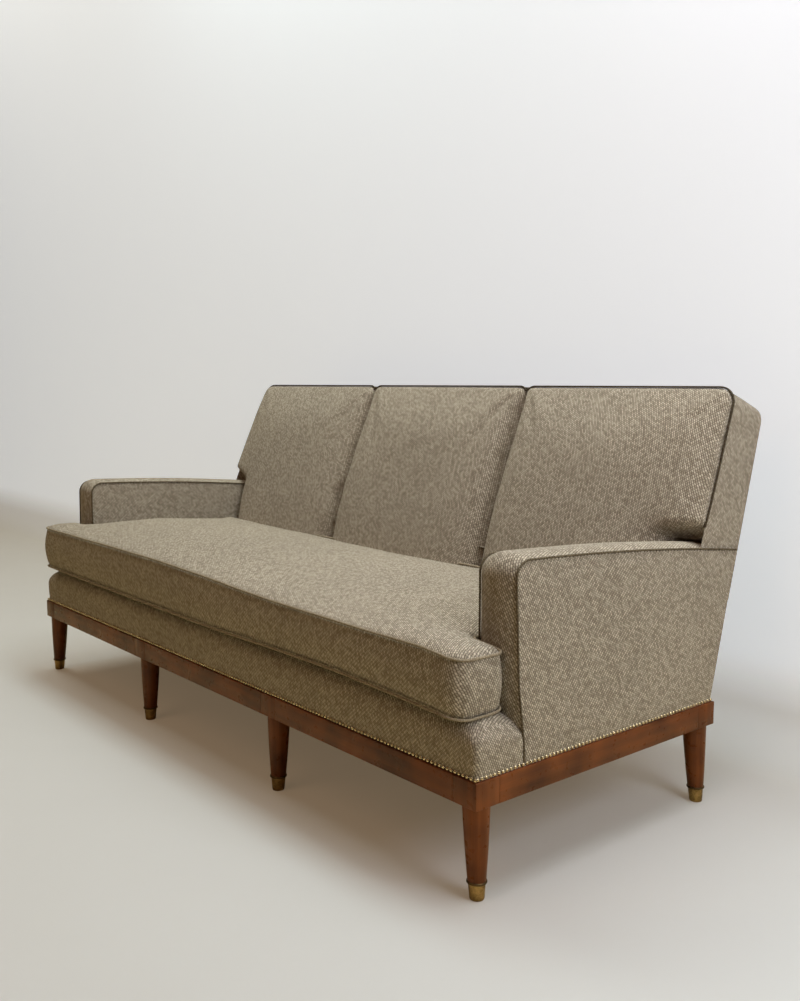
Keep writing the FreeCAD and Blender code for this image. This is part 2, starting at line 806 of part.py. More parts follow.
def pad_section(left, right, crown, length):
    """Cross-section of a pad: flat behind, three arcs in front."""
    middle = (left + right) / 2
    half = (right - left) / 2
    far, near = pad_shoulder_shares

    def point(share):
        return vec(middle + half * share, -crown * bulge(share, pad_fullness), length)

    edges = [Part.LineSegment(vec(left, pad_layer, length), vec(left, 0, length)).toShape(),
             Part.Arc(vec(left, 0, length), point(-far), point(-near)).toShape(),
             Part.Arc(point(-near), point(0), point(near)).toShape(),
             Part.Arc(point(near), point(far), vec(right, 0, length)).toShape(),
             Part.LineSegment(vec(right, 0, length), vec(right, pad_layer, length)).toShape(),
             Part.LineSegment(vec(right, pad_layer, length), vec(left, pad_layer, length)).toShape()]
    return Part.Wire(edges)


def top_corner(side, sign, radius):
    """Centre of the arc that rounds a top corner of the back, and how far it turns from the top.

    side gives the x of that side at a length up the rake, and sign is -1 on the left, 1 on the right.
    """
    level = back_length - radius
    lean = math.atan2(sign * (side(level) - side(back_length)), radius)
    return side(level) - sign * radius / math.cos(lean), level, math.pi / 2 - lean


def front_mask(left, right, left_radius, right_radius, half_depth):
    """Front view of a piece of the back with rounded top corners, as a thick solid."""
    arcs = []
    for side, sign, radius in ((left, -1, left_radius), (right, 1, right_radius)):
        x, z, last = top_corner(side, sign, radius)
        arcs.append([vec(x + sign * radius * math.sin(t), -half_depth, z + radius * math.cos(t))
                     for t in (0, last / 2, last)])
    first, last = arcs
    foot_left = vec(left(-overrun), -half_depth, -overrun)
    foot_right = vec(right(-overrun), -half_depth, -overrun)
    edges = [Part.LineSegment(foot_left, first[2]).toShape(),
             Part.Arc(first[2], first[1], first[0]).toShape(),
             Part.LineSegment(first[0], last[0]).toShape(),
             Part.Arc(last[0], last[1], last[2]).toShape(),
             Part.LineSegment(last[2], foot_right).toShape(),
             Part.LineSegment(foot_right, foot_left).toShape()]
    return Part.Face(Part.Wire(edges)).extrude(vec(0, 2 * half_depth, 0))


def pad_corner_radii(i):
    """Radii of a pad's two top corners: wide at the ends of the back, small at the channels."""
    left = back_corner_radius if i == 0 else pad_notch_radius
    right = back_corner_radius if i == pad_count - 1 else pad_notch_radius
    return left, right


def back_pad(i, arm_notches):
    """One crowned pad with its flat skirt behind the seat cushion."""
    sections = []
    for height, crown in zip(pad_height_shares, pad_crown_shares):
        left, right = pad_sides(i, height * back_length)
        sections.append(pad_section(left, right, crown * pad_crown, height * back_length))
    crowned = Part.makeLoft(sections, True, True)
    radii = pad_corner_radii(i)
    mask = front_mask(lambda s: pad_sides(i, s)[0] - piping_gap, lambda s: pad_sides(i, s)[1] + piping_gap,
                      radii[0], radii[1], 2 * pad_crown)
    crowned = raked(one(crowned.common(mask)))
    left, right = pad_sides(i, 0)
    skirt = side_prism(skirt_outline(0, pad_layer), max(left, -arm_inner_x), min(right, arm_inner_x))
    return one(crowned.fuse(skirt).cut(arm_notches))


def skirt_outline(near, far):
    """Side view of the upright layer below the knee, near and far behind the front plane."""
    low = strap_top
    slant = math.tan(math.radians(front_rake_degrees) / 2)
    near_z = knee_z - near * slant
    far_z = knee_z - far * slant
    return [(knee_y + near, low), (knee_y + near, near_z), (knee_y + far, far_z), (knee_y + far, low)]


def meets_top(foot_y, foot_z, rake):
    """Where a raked plane through a foot meets the sloping top of the back, as depth and height."""
    front_y = front_line(back_top_z)
    fall = back_rear_drop / (back_rear_y - front_y)
    z = (back_top_z - fall * (foot_y - front_y - foot_z * rake)) / (1 + rake * fall)
    return foot_y + (z - foot_z) * rake, z


def inner_top():
    """Where the inside face of the outside back meets the top, as depth and height."""
    return meets_top(hem_rear - outside_back_thickness, plinth_top, rear_rake)


def back_mask():
    """Front view of the whole back above the arms, leaning with it."""
    return raked(front_mask(lambda s: -back_half(s), back_half, back_corner_radius, back_corner_radius,
                            overall_depth))


def back_core(carcase, arm_blocks):
    """The padded body of the back behind the pads, hollowed for its frame and webbing."""
    rake = math.radians(front_rake_degrees)
    outline = [(knee_y + pad_layer, strap_top), (knee_y + pad_layer, knee_z - pad_layer * math.tan(rake / 2)),
               meets_top(knee_y + pad_layer / math.cos(rake), knee_z, front_rake), inner_top(),
               (rear_line(strap_top) - outside_back_thickness, strap_top)]
    wide = side_prism(outline, -half_plinth, half_plinth)
    low = box(-arm_inner_x, arm_inner_x, -overall_depth, overall_depth, 0, knee_z)
    body = wide.common(back_mask()).fuse(wide.common(low)).removeSplitter()
    cavities = Part.makeCompound([carcase[name] for name in carcase])
    return one(body.cut(arm_blocks).cut(cavities))


def outside_back():
    """The panel that closes the raked outside of the back, down to the plinth."""
    slab = side_prism([(hem_rear - outside_back_thickness, plinth_top), (hem_rear, plinth_top),
                       (back_rear_y, back_rear_z), inner_top()],
                      -half_plinth, half_plinth)
    level = arm_height - arm_fall - piping_radius
    wide = face_of([vec(-side_line(plinth_top), 0, plinth_top), vec(side_line(plinth_top), 0, plinth_top),
                    vec(side_line(level), 0, level), vec(-side_line(level), 0, level)])
    wide = wide.extrude(vec(0, overall_depth, 0))
    high = box(-half_plinth, half_plinth, 0, overall_depth, level, overall_height)
    return one(slab.common(wide).fuse(slab.common(back_mask()).common(high)).removeSplitter())


def cord_foot():
    """Length up the rake at which the back's outer cords meet the arms."""
    z = arm_meets_back() + 2 * piping_diagonal + piping_stand
    return (z - knee_z) / math.cos(math.radians(front_rake_degrees))


def cord_end(i, right):
    """Corners of one end of a pad's cord, from its foot up to the straight top, as x and length.

    At a channel the corner arc is cut short, so that two cords dip and meet between the pads.
    """
    side = 1 if right else 0
    sign = 1 if right else -1
    radius = pad_corner_radii(i)[side]
    x, level, last = top_corner(lambda s: pad_sides(i, s)[side], sign, radius)
    reach = radius + piping_stand
    outermost = i == (pad_count - 1 if right else 0)
    if not outermost:
        last = math.asin((radius - piping_stand) / reach)
    corners = arc_corners(0, level, reach, 0, last, piping_corner_steps)
    end = (reach * math.sin(last), level + reach * math.cos(last))
    if outermost:
        fall = end[1] - cord_foot()
        end = (end[0] + fall / math.tan(last), end[1] - fall)
    return [(x + sign * a, b) for a, b in reversed(corners + [end])]


def back_piping():
    """Three cords round the tops of the pads, the outer ones down to the arms."""
    cords = []
    for i in range(pad_count):
        path = cord_end(i, False) + list(reversed(cord_end(i, True)))
        cords.append(raked(cord([vec(x, 0, length) for x, length in path], piping_radius)))
    return Part.makeCompound(cords)


def make_back(carcase, webbing):
    """Pads, padded body, outside panel and piping of the back."""
    block = arm_prism(arm_crown + cushion_clearance, arm_inner_x - pad_gap, plinth_width)
    notch = block.fuse(inner_cord(piping_radius + pad_gap))
    notches = Part.makeCompound([notch, mirrored(notch)])
    pieces = {}
    for i, name in enumerate(("left", "middle", "right")):
        pieces["back_pad_" + name] = back_pad(i, notches)
    block = arm_prism(-arm_band_depth, arm_inner_x, plinth_width)
    blocks = Part.makeCompound([block, mirrored(block)])
    solids = dict(carcase)
    solids["webbing"] = webbing["back_webbing"]
    pieces["back_core"] = back_core(solids, blocks)
    pieces["outside_back"] = outside_back()
    pieces["back_piping"] = back_piping()
    return pieces


# Seat deck, front border and trim

def make_deck(carcase, arms):
    """The padded deck under the cushion and the padded front border before the arms."""
    deck = box(-arm_inner_x, arm_inner_x, arm_front, knee_y, strap_top, deck_top)
    radius = border_top_radius
    root = math.sqrt(0.5)
    bottom = plinth_top
    corner = vec(0, hem_front + radius * (1 - root), deck_top - radius * (1 - root))
    a = vec(0, hem_front, bottom)
    b = vec(0, hem_front, deck_top - radius)
    c = vec(0, hem_front + radius, deck_top)
    d = vec(0, arm_front - piping_diagonal - piping_stand, deck_top)
    e = vec(0, d.y, bottom)
    edges = [Part.LineSegment(a, b).toShape(), Part.Arc(b, corner, c).toShape(),
             Part.LineSegment(c, d).toShape(), Part.LineSegment(d, e).toShape(),
             Part.LineSegment(e, a).toShape()]
    long = Part.Face(Part.Wire(edges)).extrude(vec(2 * half_plinth, 0, 0))
    long.translate(vec(-half_plinth, 0, 0))
    ends = face_of([vec(-side_line(bottom), 0, bottom), vec(side_line(bottom), 0, bottom),
                    vec(side_line(deck_top), 0, deck_top), vec(-side_line(deck_top), 0, deck_top)])
    ends = ends.extrude(vec(0, -overall_depth, 0))
    border = one(long.common(ends))
    tops = [edge for edge in border.Edges if is_end_edge(edge)]
    border = border.makeFillet(border_end_radius, tops)
    tongue = box(-arm_inner_x, arm_inner_x, d.y, arm_front, strap_top, deck_top)
    inner = frame_inner - seat_rail_thickness
    hollow = box(-inner, inner, front_rail_back, arm_front, bottom, strap_top)
    straps = box(-inner, inner, front_rail_front, arm_front, seat_rail_top, strap_top)
    frame = Part.makeCompound([carcase[name] for name in carcase])
    border = border.fuse(tongue).removeSplitter().cut(hollow).cut(straps).cut(frame)
    border = border.cut([arms["arm_band_left"], arms["arm_band_right"]])
    return {"deck_pad": deck, "front_border": one(border)}


def is_end_edge(edge):
    """True for the curved and flat top edges at the two ends of the border."""
    box_ = edge.BoundBox
    at_end = min(abs(box_.XMin), abs(box_.XMax)) > arm_inner_x and box_.XLength < border_end_radius
    return at_end and box_.ZMax > deck_top - border_top_radius + piping_gap and box_.YLength > piping_gap


def make_trim():
    """The nailhead trim along the hem, as four plain strips."""
    low = plinth_top + trim_lift
    high = low + trim_height
    front = box(-hem_half, hem_half, hem_front - trim_thickness, hem_front, low, high)
    right = box(hem_half, hem_half + trim_thickness, hem_front, hem_rear, low, high)
    rear = side_prism([(rear_line(low), low), (rear_line(low) + trim_thickness, low),
                       (rear_line(high) + trim_thickness, high), (rear_line(high), high)],
                      -side_line(high), side_line(high))
    return {"nailhead_trim": Part.makeCompound([front, right, mirrored(right), rear])}


# Loose seat cushion

cushion_seam = deck_top + cushion_lift + cushion_belly
cushion_top_seam = cushion_seam + cushion_wall
cushion_front = -overall_depth / 2 + piping_stand + piping_radius
cushion_ear_x = half_plinth - cushion_ear_inset
cushion_ear_back = arm_front - arm_crown - cushion_clearance - piping_stand - piping_radius
cushion_side_x = arm_inner_x - 2 * piping_stand - cushion_clearance - piping_stand - piping_radius
cushion_back = knee_y - pad_crown * pad_crown_shares[0] - cushion_clearance - piping_stand - piping_radius


def cushion_corners(grow):
    """Corners and radii of the T-shaped plan of the cushion, moved out by grow."""
    front = cushion_front - grow
    ear_x = cushion_ear_x + grow
    ear_y = cushion_ear_back + grow
    side_x = cushion_side_x + grow
    rear = cushion_back + grow
    right = [(ear_x, front, cushion_front_radius + grow), (ear_x, ear_y, cushion_ear_radius + grow),
             (side_x, ear_y, cushion_notch_radius - grow), (side_x, rear, cushion_rear_radius + grow)]
    return right + [(-x, y, radius) for x, y, radius in reversed(right)]


def cushion_outline(z, grow):
    """Plan outline of the cushion at height z, moved out by grow."""
    return rounded_outline(cushion_corners(grow), z)


def crown_section(x, rise):
    """Lengthwise section of the cushion's crown above its top seam."""
    a = vec(x, cushion_front, cushion_top_seam)
    b = vec(x, (cushion_front + cushion_back) / 2, cushion_top_seam + rise)
    c = vec(x, cushion_back, cushion_top_seam)
    return Part.Wire([Part.Arc(a, b, c).toShape(), Part.LineSegment(c, a).toShape()])


def make_cushion():
    """The loose cushion and the piping round its two seams."""
    outlines = [cushion_outline(cushion_seam + cushion_wall * height, cushion_puff * puff)
                for height, puff in zip(cushion_wall_shares, cushion_puff_shares)]
    wall = Part.makeLoft(outlines, True, True)
    stations = [share * cushion_ear_x for share in cushion_station_shares]
    sections = []
    for x in [-x for x in reversed(stations)] + stations[1:]:
        rise = cushion_crown * bulge(x / cushion_ear_x, cushion_fullness) + cushion_clearance
        sections.append(crown_section(x, rise))
    crown = Part.makeLoft(sections, True, True)
    mask = Part.Face(cushion_outline(cushion_top_seam, 0)).extrude(vec(0, 0, cushion_crown * 2))
    crown = crown.common(mask)
    belly = Part.makeLoft([cushion_outline(cushion_seam - cushion_belly, -cushion_belly_inset),
                           cushion_outline(cushion_seam, 0)], True, True)
    cushion = one(wall.fuse([crown, belly]))
    pieces = {"seat_cushion": cushion}
    for name, z in (("upper", cushion_top_seam), ("lower", cushion_seam)):
        corners = outline_corners(cushion_corners(piping_stand), z)
        pieces["cushion_piping_" + name] = cord(corners, piping_radius, True)
    return pieces


def main():
    os.makedirs("parts", exist_ok=True)
    base = make_base()
    carcase = make_carcase()
    webbing = make_webbing()
    arms = make_arms(carcase, webbing)
    groups = [base, carcase, webbing, arms, make_back(carcase, webbing), make_deck(carcase, arms),
              make_trim(), make_cushion()]
    total = 0
    for group in groups:
        for name in group:
            write(name, group[name])
            total += 1
    print(total, "sub-parts")


main()
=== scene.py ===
import logging
import math
from dataclasses import dataclass, field
from enum import Enum
from typing import Callable, Iterator, Optional, Sequence

import bmesh
import bpy
import numpy as np
from mathutils import Matrix, Vector, noise


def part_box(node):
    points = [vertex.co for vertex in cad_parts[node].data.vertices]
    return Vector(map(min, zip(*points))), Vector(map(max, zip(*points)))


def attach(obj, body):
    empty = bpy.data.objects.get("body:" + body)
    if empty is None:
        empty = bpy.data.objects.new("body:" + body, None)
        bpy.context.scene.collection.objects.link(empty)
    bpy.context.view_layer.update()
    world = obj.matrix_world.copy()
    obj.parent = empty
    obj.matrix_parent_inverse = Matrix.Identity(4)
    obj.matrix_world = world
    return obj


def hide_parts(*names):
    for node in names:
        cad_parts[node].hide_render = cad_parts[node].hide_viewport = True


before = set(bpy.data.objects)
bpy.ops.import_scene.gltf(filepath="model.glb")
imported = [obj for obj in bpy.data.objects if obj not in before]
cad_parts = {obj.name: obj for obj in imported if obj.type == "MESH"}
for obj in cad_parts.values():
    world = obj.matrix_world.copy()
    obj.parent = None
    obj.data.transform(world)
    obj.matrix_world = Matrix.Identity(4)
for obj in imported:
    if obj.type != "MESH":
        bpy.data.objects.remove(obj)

LOG = logging.getLogger("sofa")
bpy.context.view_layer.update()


class Slot(Enum):
    """The record's material slots."""

    TWEED = "tweed"
    PIPING = "piping"
    POLISHED = "polished_wood"
    FRAME_WOOD = "frame_wood"
    BRASS = "brass"
    STEEL = "steel"
    WEBBING = "webbing"
    DUST_CLOTH = "dust_cloth"


class Body(Enum):
    """The bodies that pieces ride on."""

    FRAME = "frame"
    SEAT = "seat_cushion"


class Side(Enum):
    """The two ends of the sofa, as the sign of their x."""

    LEFT = -1
    RIGHT = 1

    @property
    def label(self) -> str:
        """The word that node names end in."""
        return self.name.lower()


class Grain(Enum):
    """The way that wood fibres run, as the order of axes that brings it to the front."""

    ALONG_X = (0, 1, 2)
    ALONG_Y = (1, 0, 2)
    ALONG_Z = (2, 0, 1)


# Node trees


class Tree:
    """Adds and joins nodes in a material or in a shader group."""

    def __init__(self, tree: bpy.types.NodeTree) -> None:
        """Keep the tree.

        Args:
            tree: The node tree that gets the nodes.
        """
        self.tree = tree

    def add(self, kind: str, inputs: Optional[dict] = None, **settings) -> bpy.types.Node:
        """Add one node.

        Args:
            kind: The node's type name.
            inputs: Values or output sockets by input name or number.
            settings: Values for the node's own properties.

        Returns:
            The new node.
        """
        node = self.tree.nodes.new(kind)
        for key, value in settings.items():
            setattr(node, key, value)
        self.feed(node, inputs)
        return node

    def feed(self, node: bpy.types.Node, inputs: Optional[dict] = None, **named: object) -> None:
        """Set or link a node's inputs.

        Args:
            node: The node.
            inputs: Values or output sockets by input name or number.
            named: The same by input name, with underscores for spaces.
        """
        for key, value in {**(inputs or {}), **named}.items():
            socket = node.inputs[key.replace("_", " ") if isinstance(key, str) else key]
            if isinstance(value, bpy.types.NodeSocket):
                self.tree.links.new(value, socket)
            else:
                socket.default_value = value

    def place(self) -> bpy.types.NodeSocket:
        """The piece's own coordinates."""
        return self.add("ShaderNodeTexCoord").outputs["Object"]

    def maths(self, operation: str, *values: object) -> bpy.types.NodeSocket:
        """Add a Math node.

        Args:
            operation: The node's operation.
            values: Numbers or sockets for its inputs.

        Returns:
            Its result.
        """
        inputs = dict(enumerate(values))
        return self.add("ShaderNodeMath", inputs, operation=operation).outputs[0]

    def weighed(self, *parts: tuple[bpy.types.NodeSocket, float]) -> bpy.types.NodeSocket:
        """Add up values, each with its weight.

        Args:
            parts: Pairs of a value's socket and its weight.

        Returns:
            The sum.
        """
        terms = [self.maths("MULTIPLY", value, weight) for value, weight in parts]
        total = terms[0]
        for term in terms[1:]:
            total = self.maths("ADD", total, term)
        return total

    def blend(self, share: object, first: object, second: object) -> bpy.types.NodeSocket:
        """Mix two colours.

        Args:
            share: How much of the second colour, as a number or a socket.
            first: First colour.
            second: Second colour.

        Returns:
            The mixed colour.
        """
        return self.add("ShaderNodeMix", {0: share, 6: first, 7: second}, data_type="RGBA").outputs[2]

    def relief(self, height: bpy.types.NodeSocket, strength: float, depth: float) -> bpy.types.NodeSocket:
        """Add a bump.

        Args:
            height: What stands proud, from 0 to 1.
            strength: How strongly it shows.
            depth: Its depth in metres.

        Returns:
            The bent normal.
        """
        inputs = {"Strength": strength, "Distance": depth, "Height": height}
        return self.add("ShaderNodeBump", inputs).outputs[0]

    def ramp(self, value: object, low: float, high: float, start: float = 0.0,
             end: float = 1.0) -> bpy.types.NodeSocket:
        """Spread a value between two limits, clamped.

        Args:
            value: The socket to spread.
            low: The value that gives start.
            high: The value that gives end.
            start: Result at low.
            end: Result at high.

        Returns:
            The spread value.
        """
        node = self.add("ShaderNodeMapRange", {0: value, 1: low, 2: high, 3: start, 4: end}, clamp=True)
        return node.outputs[0]

    def noise(self, vector: object, scale: object, detail: float,
              roughness: float = 0.5) -> bpy.types.NodeSocket:
        """Add a noise texture.

        Args:
            vector: Where to read it.
            scale: Its scale, in features to the metre, as a number or a socket.
            detail: Its detail.
            roughness: Its roughness.

        Returns:
            The noise's value.
        """
        inputs = {"Vector": vector, "Scale": scale, "Detail": detail, "Roughness": roughness}
        return self.add("ShaderNodeTexNoise", inputs).outputs[0]


class SharedGroup:
    """A shader node group that is built once and placed in several materials."""

    built: dict[str, bpy.types.NodeTree] = {}

    def __init__(self, name: str, inputs: dict[str, float], outputs: Sequence[str],
                 fill: Callable[[Tree, bpy.types.Node, bpy.types.Node], None]) -> None:
        """Describe the group.

        Args:
            name: The group's name.
            inputs: Its number inputs and their first values; it has a Vector input besides.
            outputs: Names of its value outputs.
            fill: Adds the group's nodes, given the tree and its input and output nodes.
        """
        self.name = name
        self.inputs = inputs
        self.outputs = outputs
        self.fill = fill

    def tree(self) -> bpy.types.NodeTree:
        """Give the group's tree, built on its first use.

        Returns:
            The node tree.
        """
        if self.name not in self.built:
            made = bpy.data.node_groups.new(self.name, "ShaderNodeTree")
            made.interface.new_socket("Vector", in_out="INPUT", socket_type="NodeSocketVector")
            for label, value in self.inputs.items():
                socket = made.interface.new_socket(label, in_out="INPUT", socket_type="NodeSocketFloat")
                socket.default_value = value
            for label in self.outputs:
                made.interface.new_socket(label, in_out="OUTPUT", socket_type="NodeSocketFloat")
            bench = Tree(made)
            self.fill(bench, bench.add("NodeGroupInput"), bench.add("NodeGroupOutput"))
            self.built[self.name] = made
        return self.built[self.name]

    def place(self, tree: Tree, vector: bpy.types.NodeSocket, **values: object) -> bpy.types.Node:
        """Put the group in a material.

        Args:
            tree: The material's tree.
            vector: Where the pattern is read.
            values: Values or sockets for its number inputs.

        Returns:
            The group node.
        """
        return tree.add("ShaderNodeGroup", {"Vector": vector, **values}, node_tree=self.tree())


def fill_weave(tree: Tree, given: bpy.types.Node, result: bpy.types.Node) -> None:
    """Slanting stripes of yarn, broken into short floats that step from stripe to stripe.

    Args:
        tree: The group's tree.
        given: Its input node.
        result: Its output node.
    """
    vector = given.outputs["Vector"]
    wander = tree.add("ShaderNodeTexNoise", {"Vector": vector, "Scale": 90.0, "Detail": 1.0})
    centred = tree.add("ShaderNodeVectorMath", {0: wander.outputs["Color"], 1: (0.5, 0.5, 0.5)},
                       operation="SUBTRACT")
    drift = tree.add("ShaderNodeVectorMath", {0: centred.outputs[0], "Scale": given.outputs["Wander"]},
                     operation="SCALE")
    moved = tree.add("ShaderNodeVectorMath", {0: vector, 1: drift.outputs[0]}, operation="ADD")
    parts = tree.add("ShaderNodeSeparateXYZ", {0: moved.outputs[0]})
    down = tree.maths("DIVIDE", parts.outputs[1], given.outputs["Row"])
    along = tree.maths("DIVIDE", parts.outputs[0], given.outputs["Float"])
    along = tree.maths("ADD", along, tree.maths("MULTIPLY", down, given.outputs["Slant"]))
    stripe = tree.maths("FLOOR", along)
    parity = tree.maths("FLOORED_MODULO", stripe, 2.0)
    down = tree.maths("ADD", down, tree.maths("MULTIPLY", parity, 0.5))
    dash = tree.maths("FLOOR", down)
    across = tree.maths("SUBTRACT", tree.maths("SUBTRACT", along, stripe), 0.5)
    within = tree.maths("SUBTRACT", tree.maths("SUBTRACT", down, dash), 0.5)
    rounds = [tree.maths("SUBTRACT", 1.0, tree.maths("MULTIPLY", tree.maths("MULTIPLY", v, v), 4.0))
              for v in (within, across)]
    rounds[0] = tree.maths("POWER", tree.maths("MAXIMUM", rounds[0], 0.0), 0.5)
    crest = tree.maths("MAXIMUM", tree.maths("MULTIPLY", rounds[0], rounds[1]), 0.0)
    place = tree.add("ShaderNodeCombineXYZ", {0: stripe, 1: dash})
    chance = tree.add("ShaderNodeTexWhiteNoise", {"Vector": place.outputs[0]}, noise_dimensions="2D")
    fibre = tree.noise(vector, 1500.0, 2.0)
    tree.feed(result, Crest=crest, Chance=chance.outputs[0], Fibre=fibre)


def fill_mottle(tree: Tree, given: bpy.types.Node, result: bpy.types.Node) -> None:
    """Soft clouds of tone at two sizes.

    Args:
        tree: The group's tree.
        given: Its input node.
        result: Its output node.
    """
    vector = given.outputs["Vector"]
    for name, detail in (("Broad", 3.0), ("Fine", 4.0)):
        clouds = tree.noise(vector, given.outputs[name], detail)
        tree.feed(result, {name: tree.ramp(clouds, 0.3, 0.7)})


def fill_grain(tree: Tree, given: bpy.types.Node, result: bpy.types.Node) -> None:
    """Growth bands and fine fibres along the vector's x.

    Args:
        tree: The group's tree.
        given: Its input node.
        result: Its output node.
    """
    vector = given.outputs["Vector"]
    size = given.outputs["Size"]
    scaled = tree.add("ShaderNodeVectorMath", {0: vector, "Scale": size}, operation="SCALE").outputs[0]

    def stretched(shares: tuple[float, float, float]) -> bpy.types.NodeSocket:
        """The vector with its own scale along each axis."""
        return tree.add("ShaderNodeVectorMath", {0: scaled, 1: shares}, operation="MULTIPLY").outputs[0]

    sway = tree.noise(stretched((1.1, 7.0, 7.0)), 1.0, 2.0)
    bands = tree.add("ShaderNodeTexWave", {"Vector": stretched((0.6, 26.0, 26.0)), "Scale": 1.0,
                                           "Distortion": tree.ramp(sway, 0.0, 1.0, 0.5, 2.5), "Detail": 2.0},
                     bands_direction="DIAGONAL")
    fibres = tree.noise(stretched((7.0, 420.0, 420.0)), 1.0, 3.0, 0.65)
    tree.feed(result, Bands=bands.outputs[1], Fibres=fibres)


WEAVE = SharedGroup("yarn_weave", {"Row": 0.0055, "Float": 0.0046, "Slant": 0.55, "Wander": 0.001},
                    ("Crest", "Chance", "Fibre"), fill_weave)
MOTTLE = SharedGroup("tone_mottle", {"Broad": 3.0, "Fine": 25.0}, ("Broad", "Fine"), fill_mottle)
GRAIN = SharedGroup("wood_grain", {"Size": 1.0}, ("Bands", "Fibres"), fill_grain)


def along_grain(tree: Tree, place: bpy.types.NodeSocket, grain: Grain) -> bpy.types.NodeSocket:
    """Turn coordinates so that their x runs with the fibres.

    Args:
        tree: The material's tree.
        place: The coordinates.
        grain: The way that the fibres run.

    Returns:
        The turned coordinates.
    """
    parts = tree.add("ShaderNodeSeparateXYZ", {0: place}).outputs
    turned = {i: parts[axis] for i, axis in enumerate(grain.value)}
    return tree.add("ShaderNodeCombineXYZ", turned).outputs[0]


# Finishes


@dataclass(frozen=True)
class Finish:
    """A named material; each kind of finish fills its own nodes."""

    name: str

    def dress(self, tree: Tree, shader: bpy.types.Node) -> None:
        """Fill the material's nodes.

        Args:
            tree: The material's tree.
            shader: Its Principled shader.
        """
        raise NotImplementedError

    def material(self) -> bpy.types.Material:
        """Give the material, made on its first use.

        Returns:
            The material.
        """
        found = bpy.data.materials.get(self.name)
        if found:
            return found
        made = bpy.data.materials.new(self.name)
        made.use_nodes = True
        self.dress(Tree(made.node_tree), made.node_tree.nodes["Principled BSDF"])
        return made


@dataclass(frozen=True)
class Tweed(Finish):
    """Upholstery cloth woven of light, middle and dark yarn, read from the piece's own weave map; the dark
    colour fills the hollows between the floats, partly as dark yarn beneath and partly as painted shade.
    """

    light: tuple = (0.71, 0.635, 0.53, 1.0)
    middle: tuple = (0.37, 0.317, 0.253, 1.0)
    dark: tuple = (0.112, 0.088, 0.062, 1.0)
    row: float = 0.0058
    float_length: float = 0.0048
    wander: float = 0.0006
    relief: float = 0.0011
    fuzz: float = 0.55
    broad_tone: float = 0.08
    fine_tone: float = 0.03
    least_tone: float = 0.945

    def dress(self, tree: Tree, shader: bpy.types.Node) -> None:
        """Fill the cloth's nodes."""
        chart = tree.add("ShaderNodeUVMap", uv_map="weave").outputs[0]
        place = tree.place()
        weave = WEAVE.place(tree, chart, Row=self.row, Float=self.float_length, Wander=self.wander)
        crest, chance, fibre = (weave.outputs[name] for name in ("Crest", "Chance", "Fibre"))
        mottle = MOTTLE.place(tree, place, Broad=2.5, Fine=40.0)
        yarn = tree.blend(tree.ramp(chance, 0.05, 1.0), self.middle, self.light)
        lit = tree.maths("ADD", crest, tree.maths("MULTIPLY", tree.maths("SUBTRACT", fibre, 0.5), self.fuzz))
        # Where a float's crest falls away the cloth turns to the dark colour: partly the dark yarn beneath,
        # partly painted shade in the hollows between floats.
        cloth = tree.blend(tree.ramp(lit, 0.0, 0.85), self.dark, yarn)
        tone = tree.weighed((mottle.outputs["Broad"], self.broad_tone),
                            (mottle.outputs["Fine"], self.fine_tone))
        tone = tree.maths("ADD", tone, self.least_tone)
        shade = tree.add("ShaderNodeVectorMath", {0: cloth, "Scale": tone}, operation="SCALE").outputs[0]
        rough = tree.ramp(crest, 0.0, 1.0, 0.98, 0.82)
        tree.feed(shader, Base_Color=shade, Roughness=rough, Normal=tree.relief(lit, 0.7, self.relief),
                  Sheen_Weight=0.10, Sheen_Roughness=0.5, Specular_IOR_Level=0.15)


@dataclass(frozen=True)
class Cord(Finish):
    """Cloth-covered piping, speckled by its yarn."""

    light: tuple = (0.19, 0.15, 0.10, 1.0)
    dark: tuple = (0.040, 0.030, 0.019, 1.0)
    speckle: float = 420.0

    def dress(self, tree: Tree, shader: bpy.types.Node) -> None:
        """Fill the cord's nodes."""
        place = tree.place()
        cells = tree.add("ShaderNodeTexVoronoi", {"Vector": place, "Scale": self.speckle})
        mottle = MOTTLE.place(tree, place, Broad=12.0, Fine=260.0)
        share = tree.maths("MULTIPLY", tree.ramp(cells.outputs["Distance"], 0.15, 0.75, 1.0, 0.0),
                           tree.ramp(mottle.outputs["Fine"], 0.0, 1.0, 0.3, 1.0))
        colour = tree.blend(share, self.dark, self.light)
        tree.feed(shader, Base_Color=colour, Roughness=0.9, Normal=tree.relief(share, 0.6, 0.0006),
                  Specular_IOR_Level=0.2)


@dataclass(frozen=True)
class PolishedWood(Finish):
    """Red-brown cabinet wood under an old hand-rubbed polish."""

    grain: Grain = Grain.ALONG_X
    light: tuple = (0.28, 0.080, 0.020, 1.0)
    dark: tuple = (0.055, 0.014, 0.005, 1.0)
    gloss: float = 0.14
    bands: float = 0.14
    fibres: float = 0.50
    clouds: float = 0.62

    def dress(self, tree: Tree, shader: bpy.types.Node) -> None:
        """Fill the wood's nodes."""
        place = tree.place()
        grain = GRAIN.place(tree, along_grain(tree, place, self.grain), Size=1.0)
        mottle = MOTTLE.place(tree, place, Broad=9.0, Fine=55.0)
        share = tree.weighed((grain.outputs["Bands"], self.bands), (grain.outputs["Fibres"], self.fibres),
                             (mottle.outputs["Broad"], self.clouds))
        colour = tree.blend(tree.ramp(share, 0.20, 1.20), self.dark, self.light)
        rough = tree.ramp(mottle.outputs["Fine"], 0.0, 1.0, 0.24, 0.42)
        tree.feed(shader, Base_Color=colour, Roughness=rough,
                  Normal=tree.relief(grain.outputs["Fibres"], 0.12, 0.0003),
                  Coat_Weight=self.gloss, Coat_Roughness=0.15, Specular_IOR_Level=0.2)


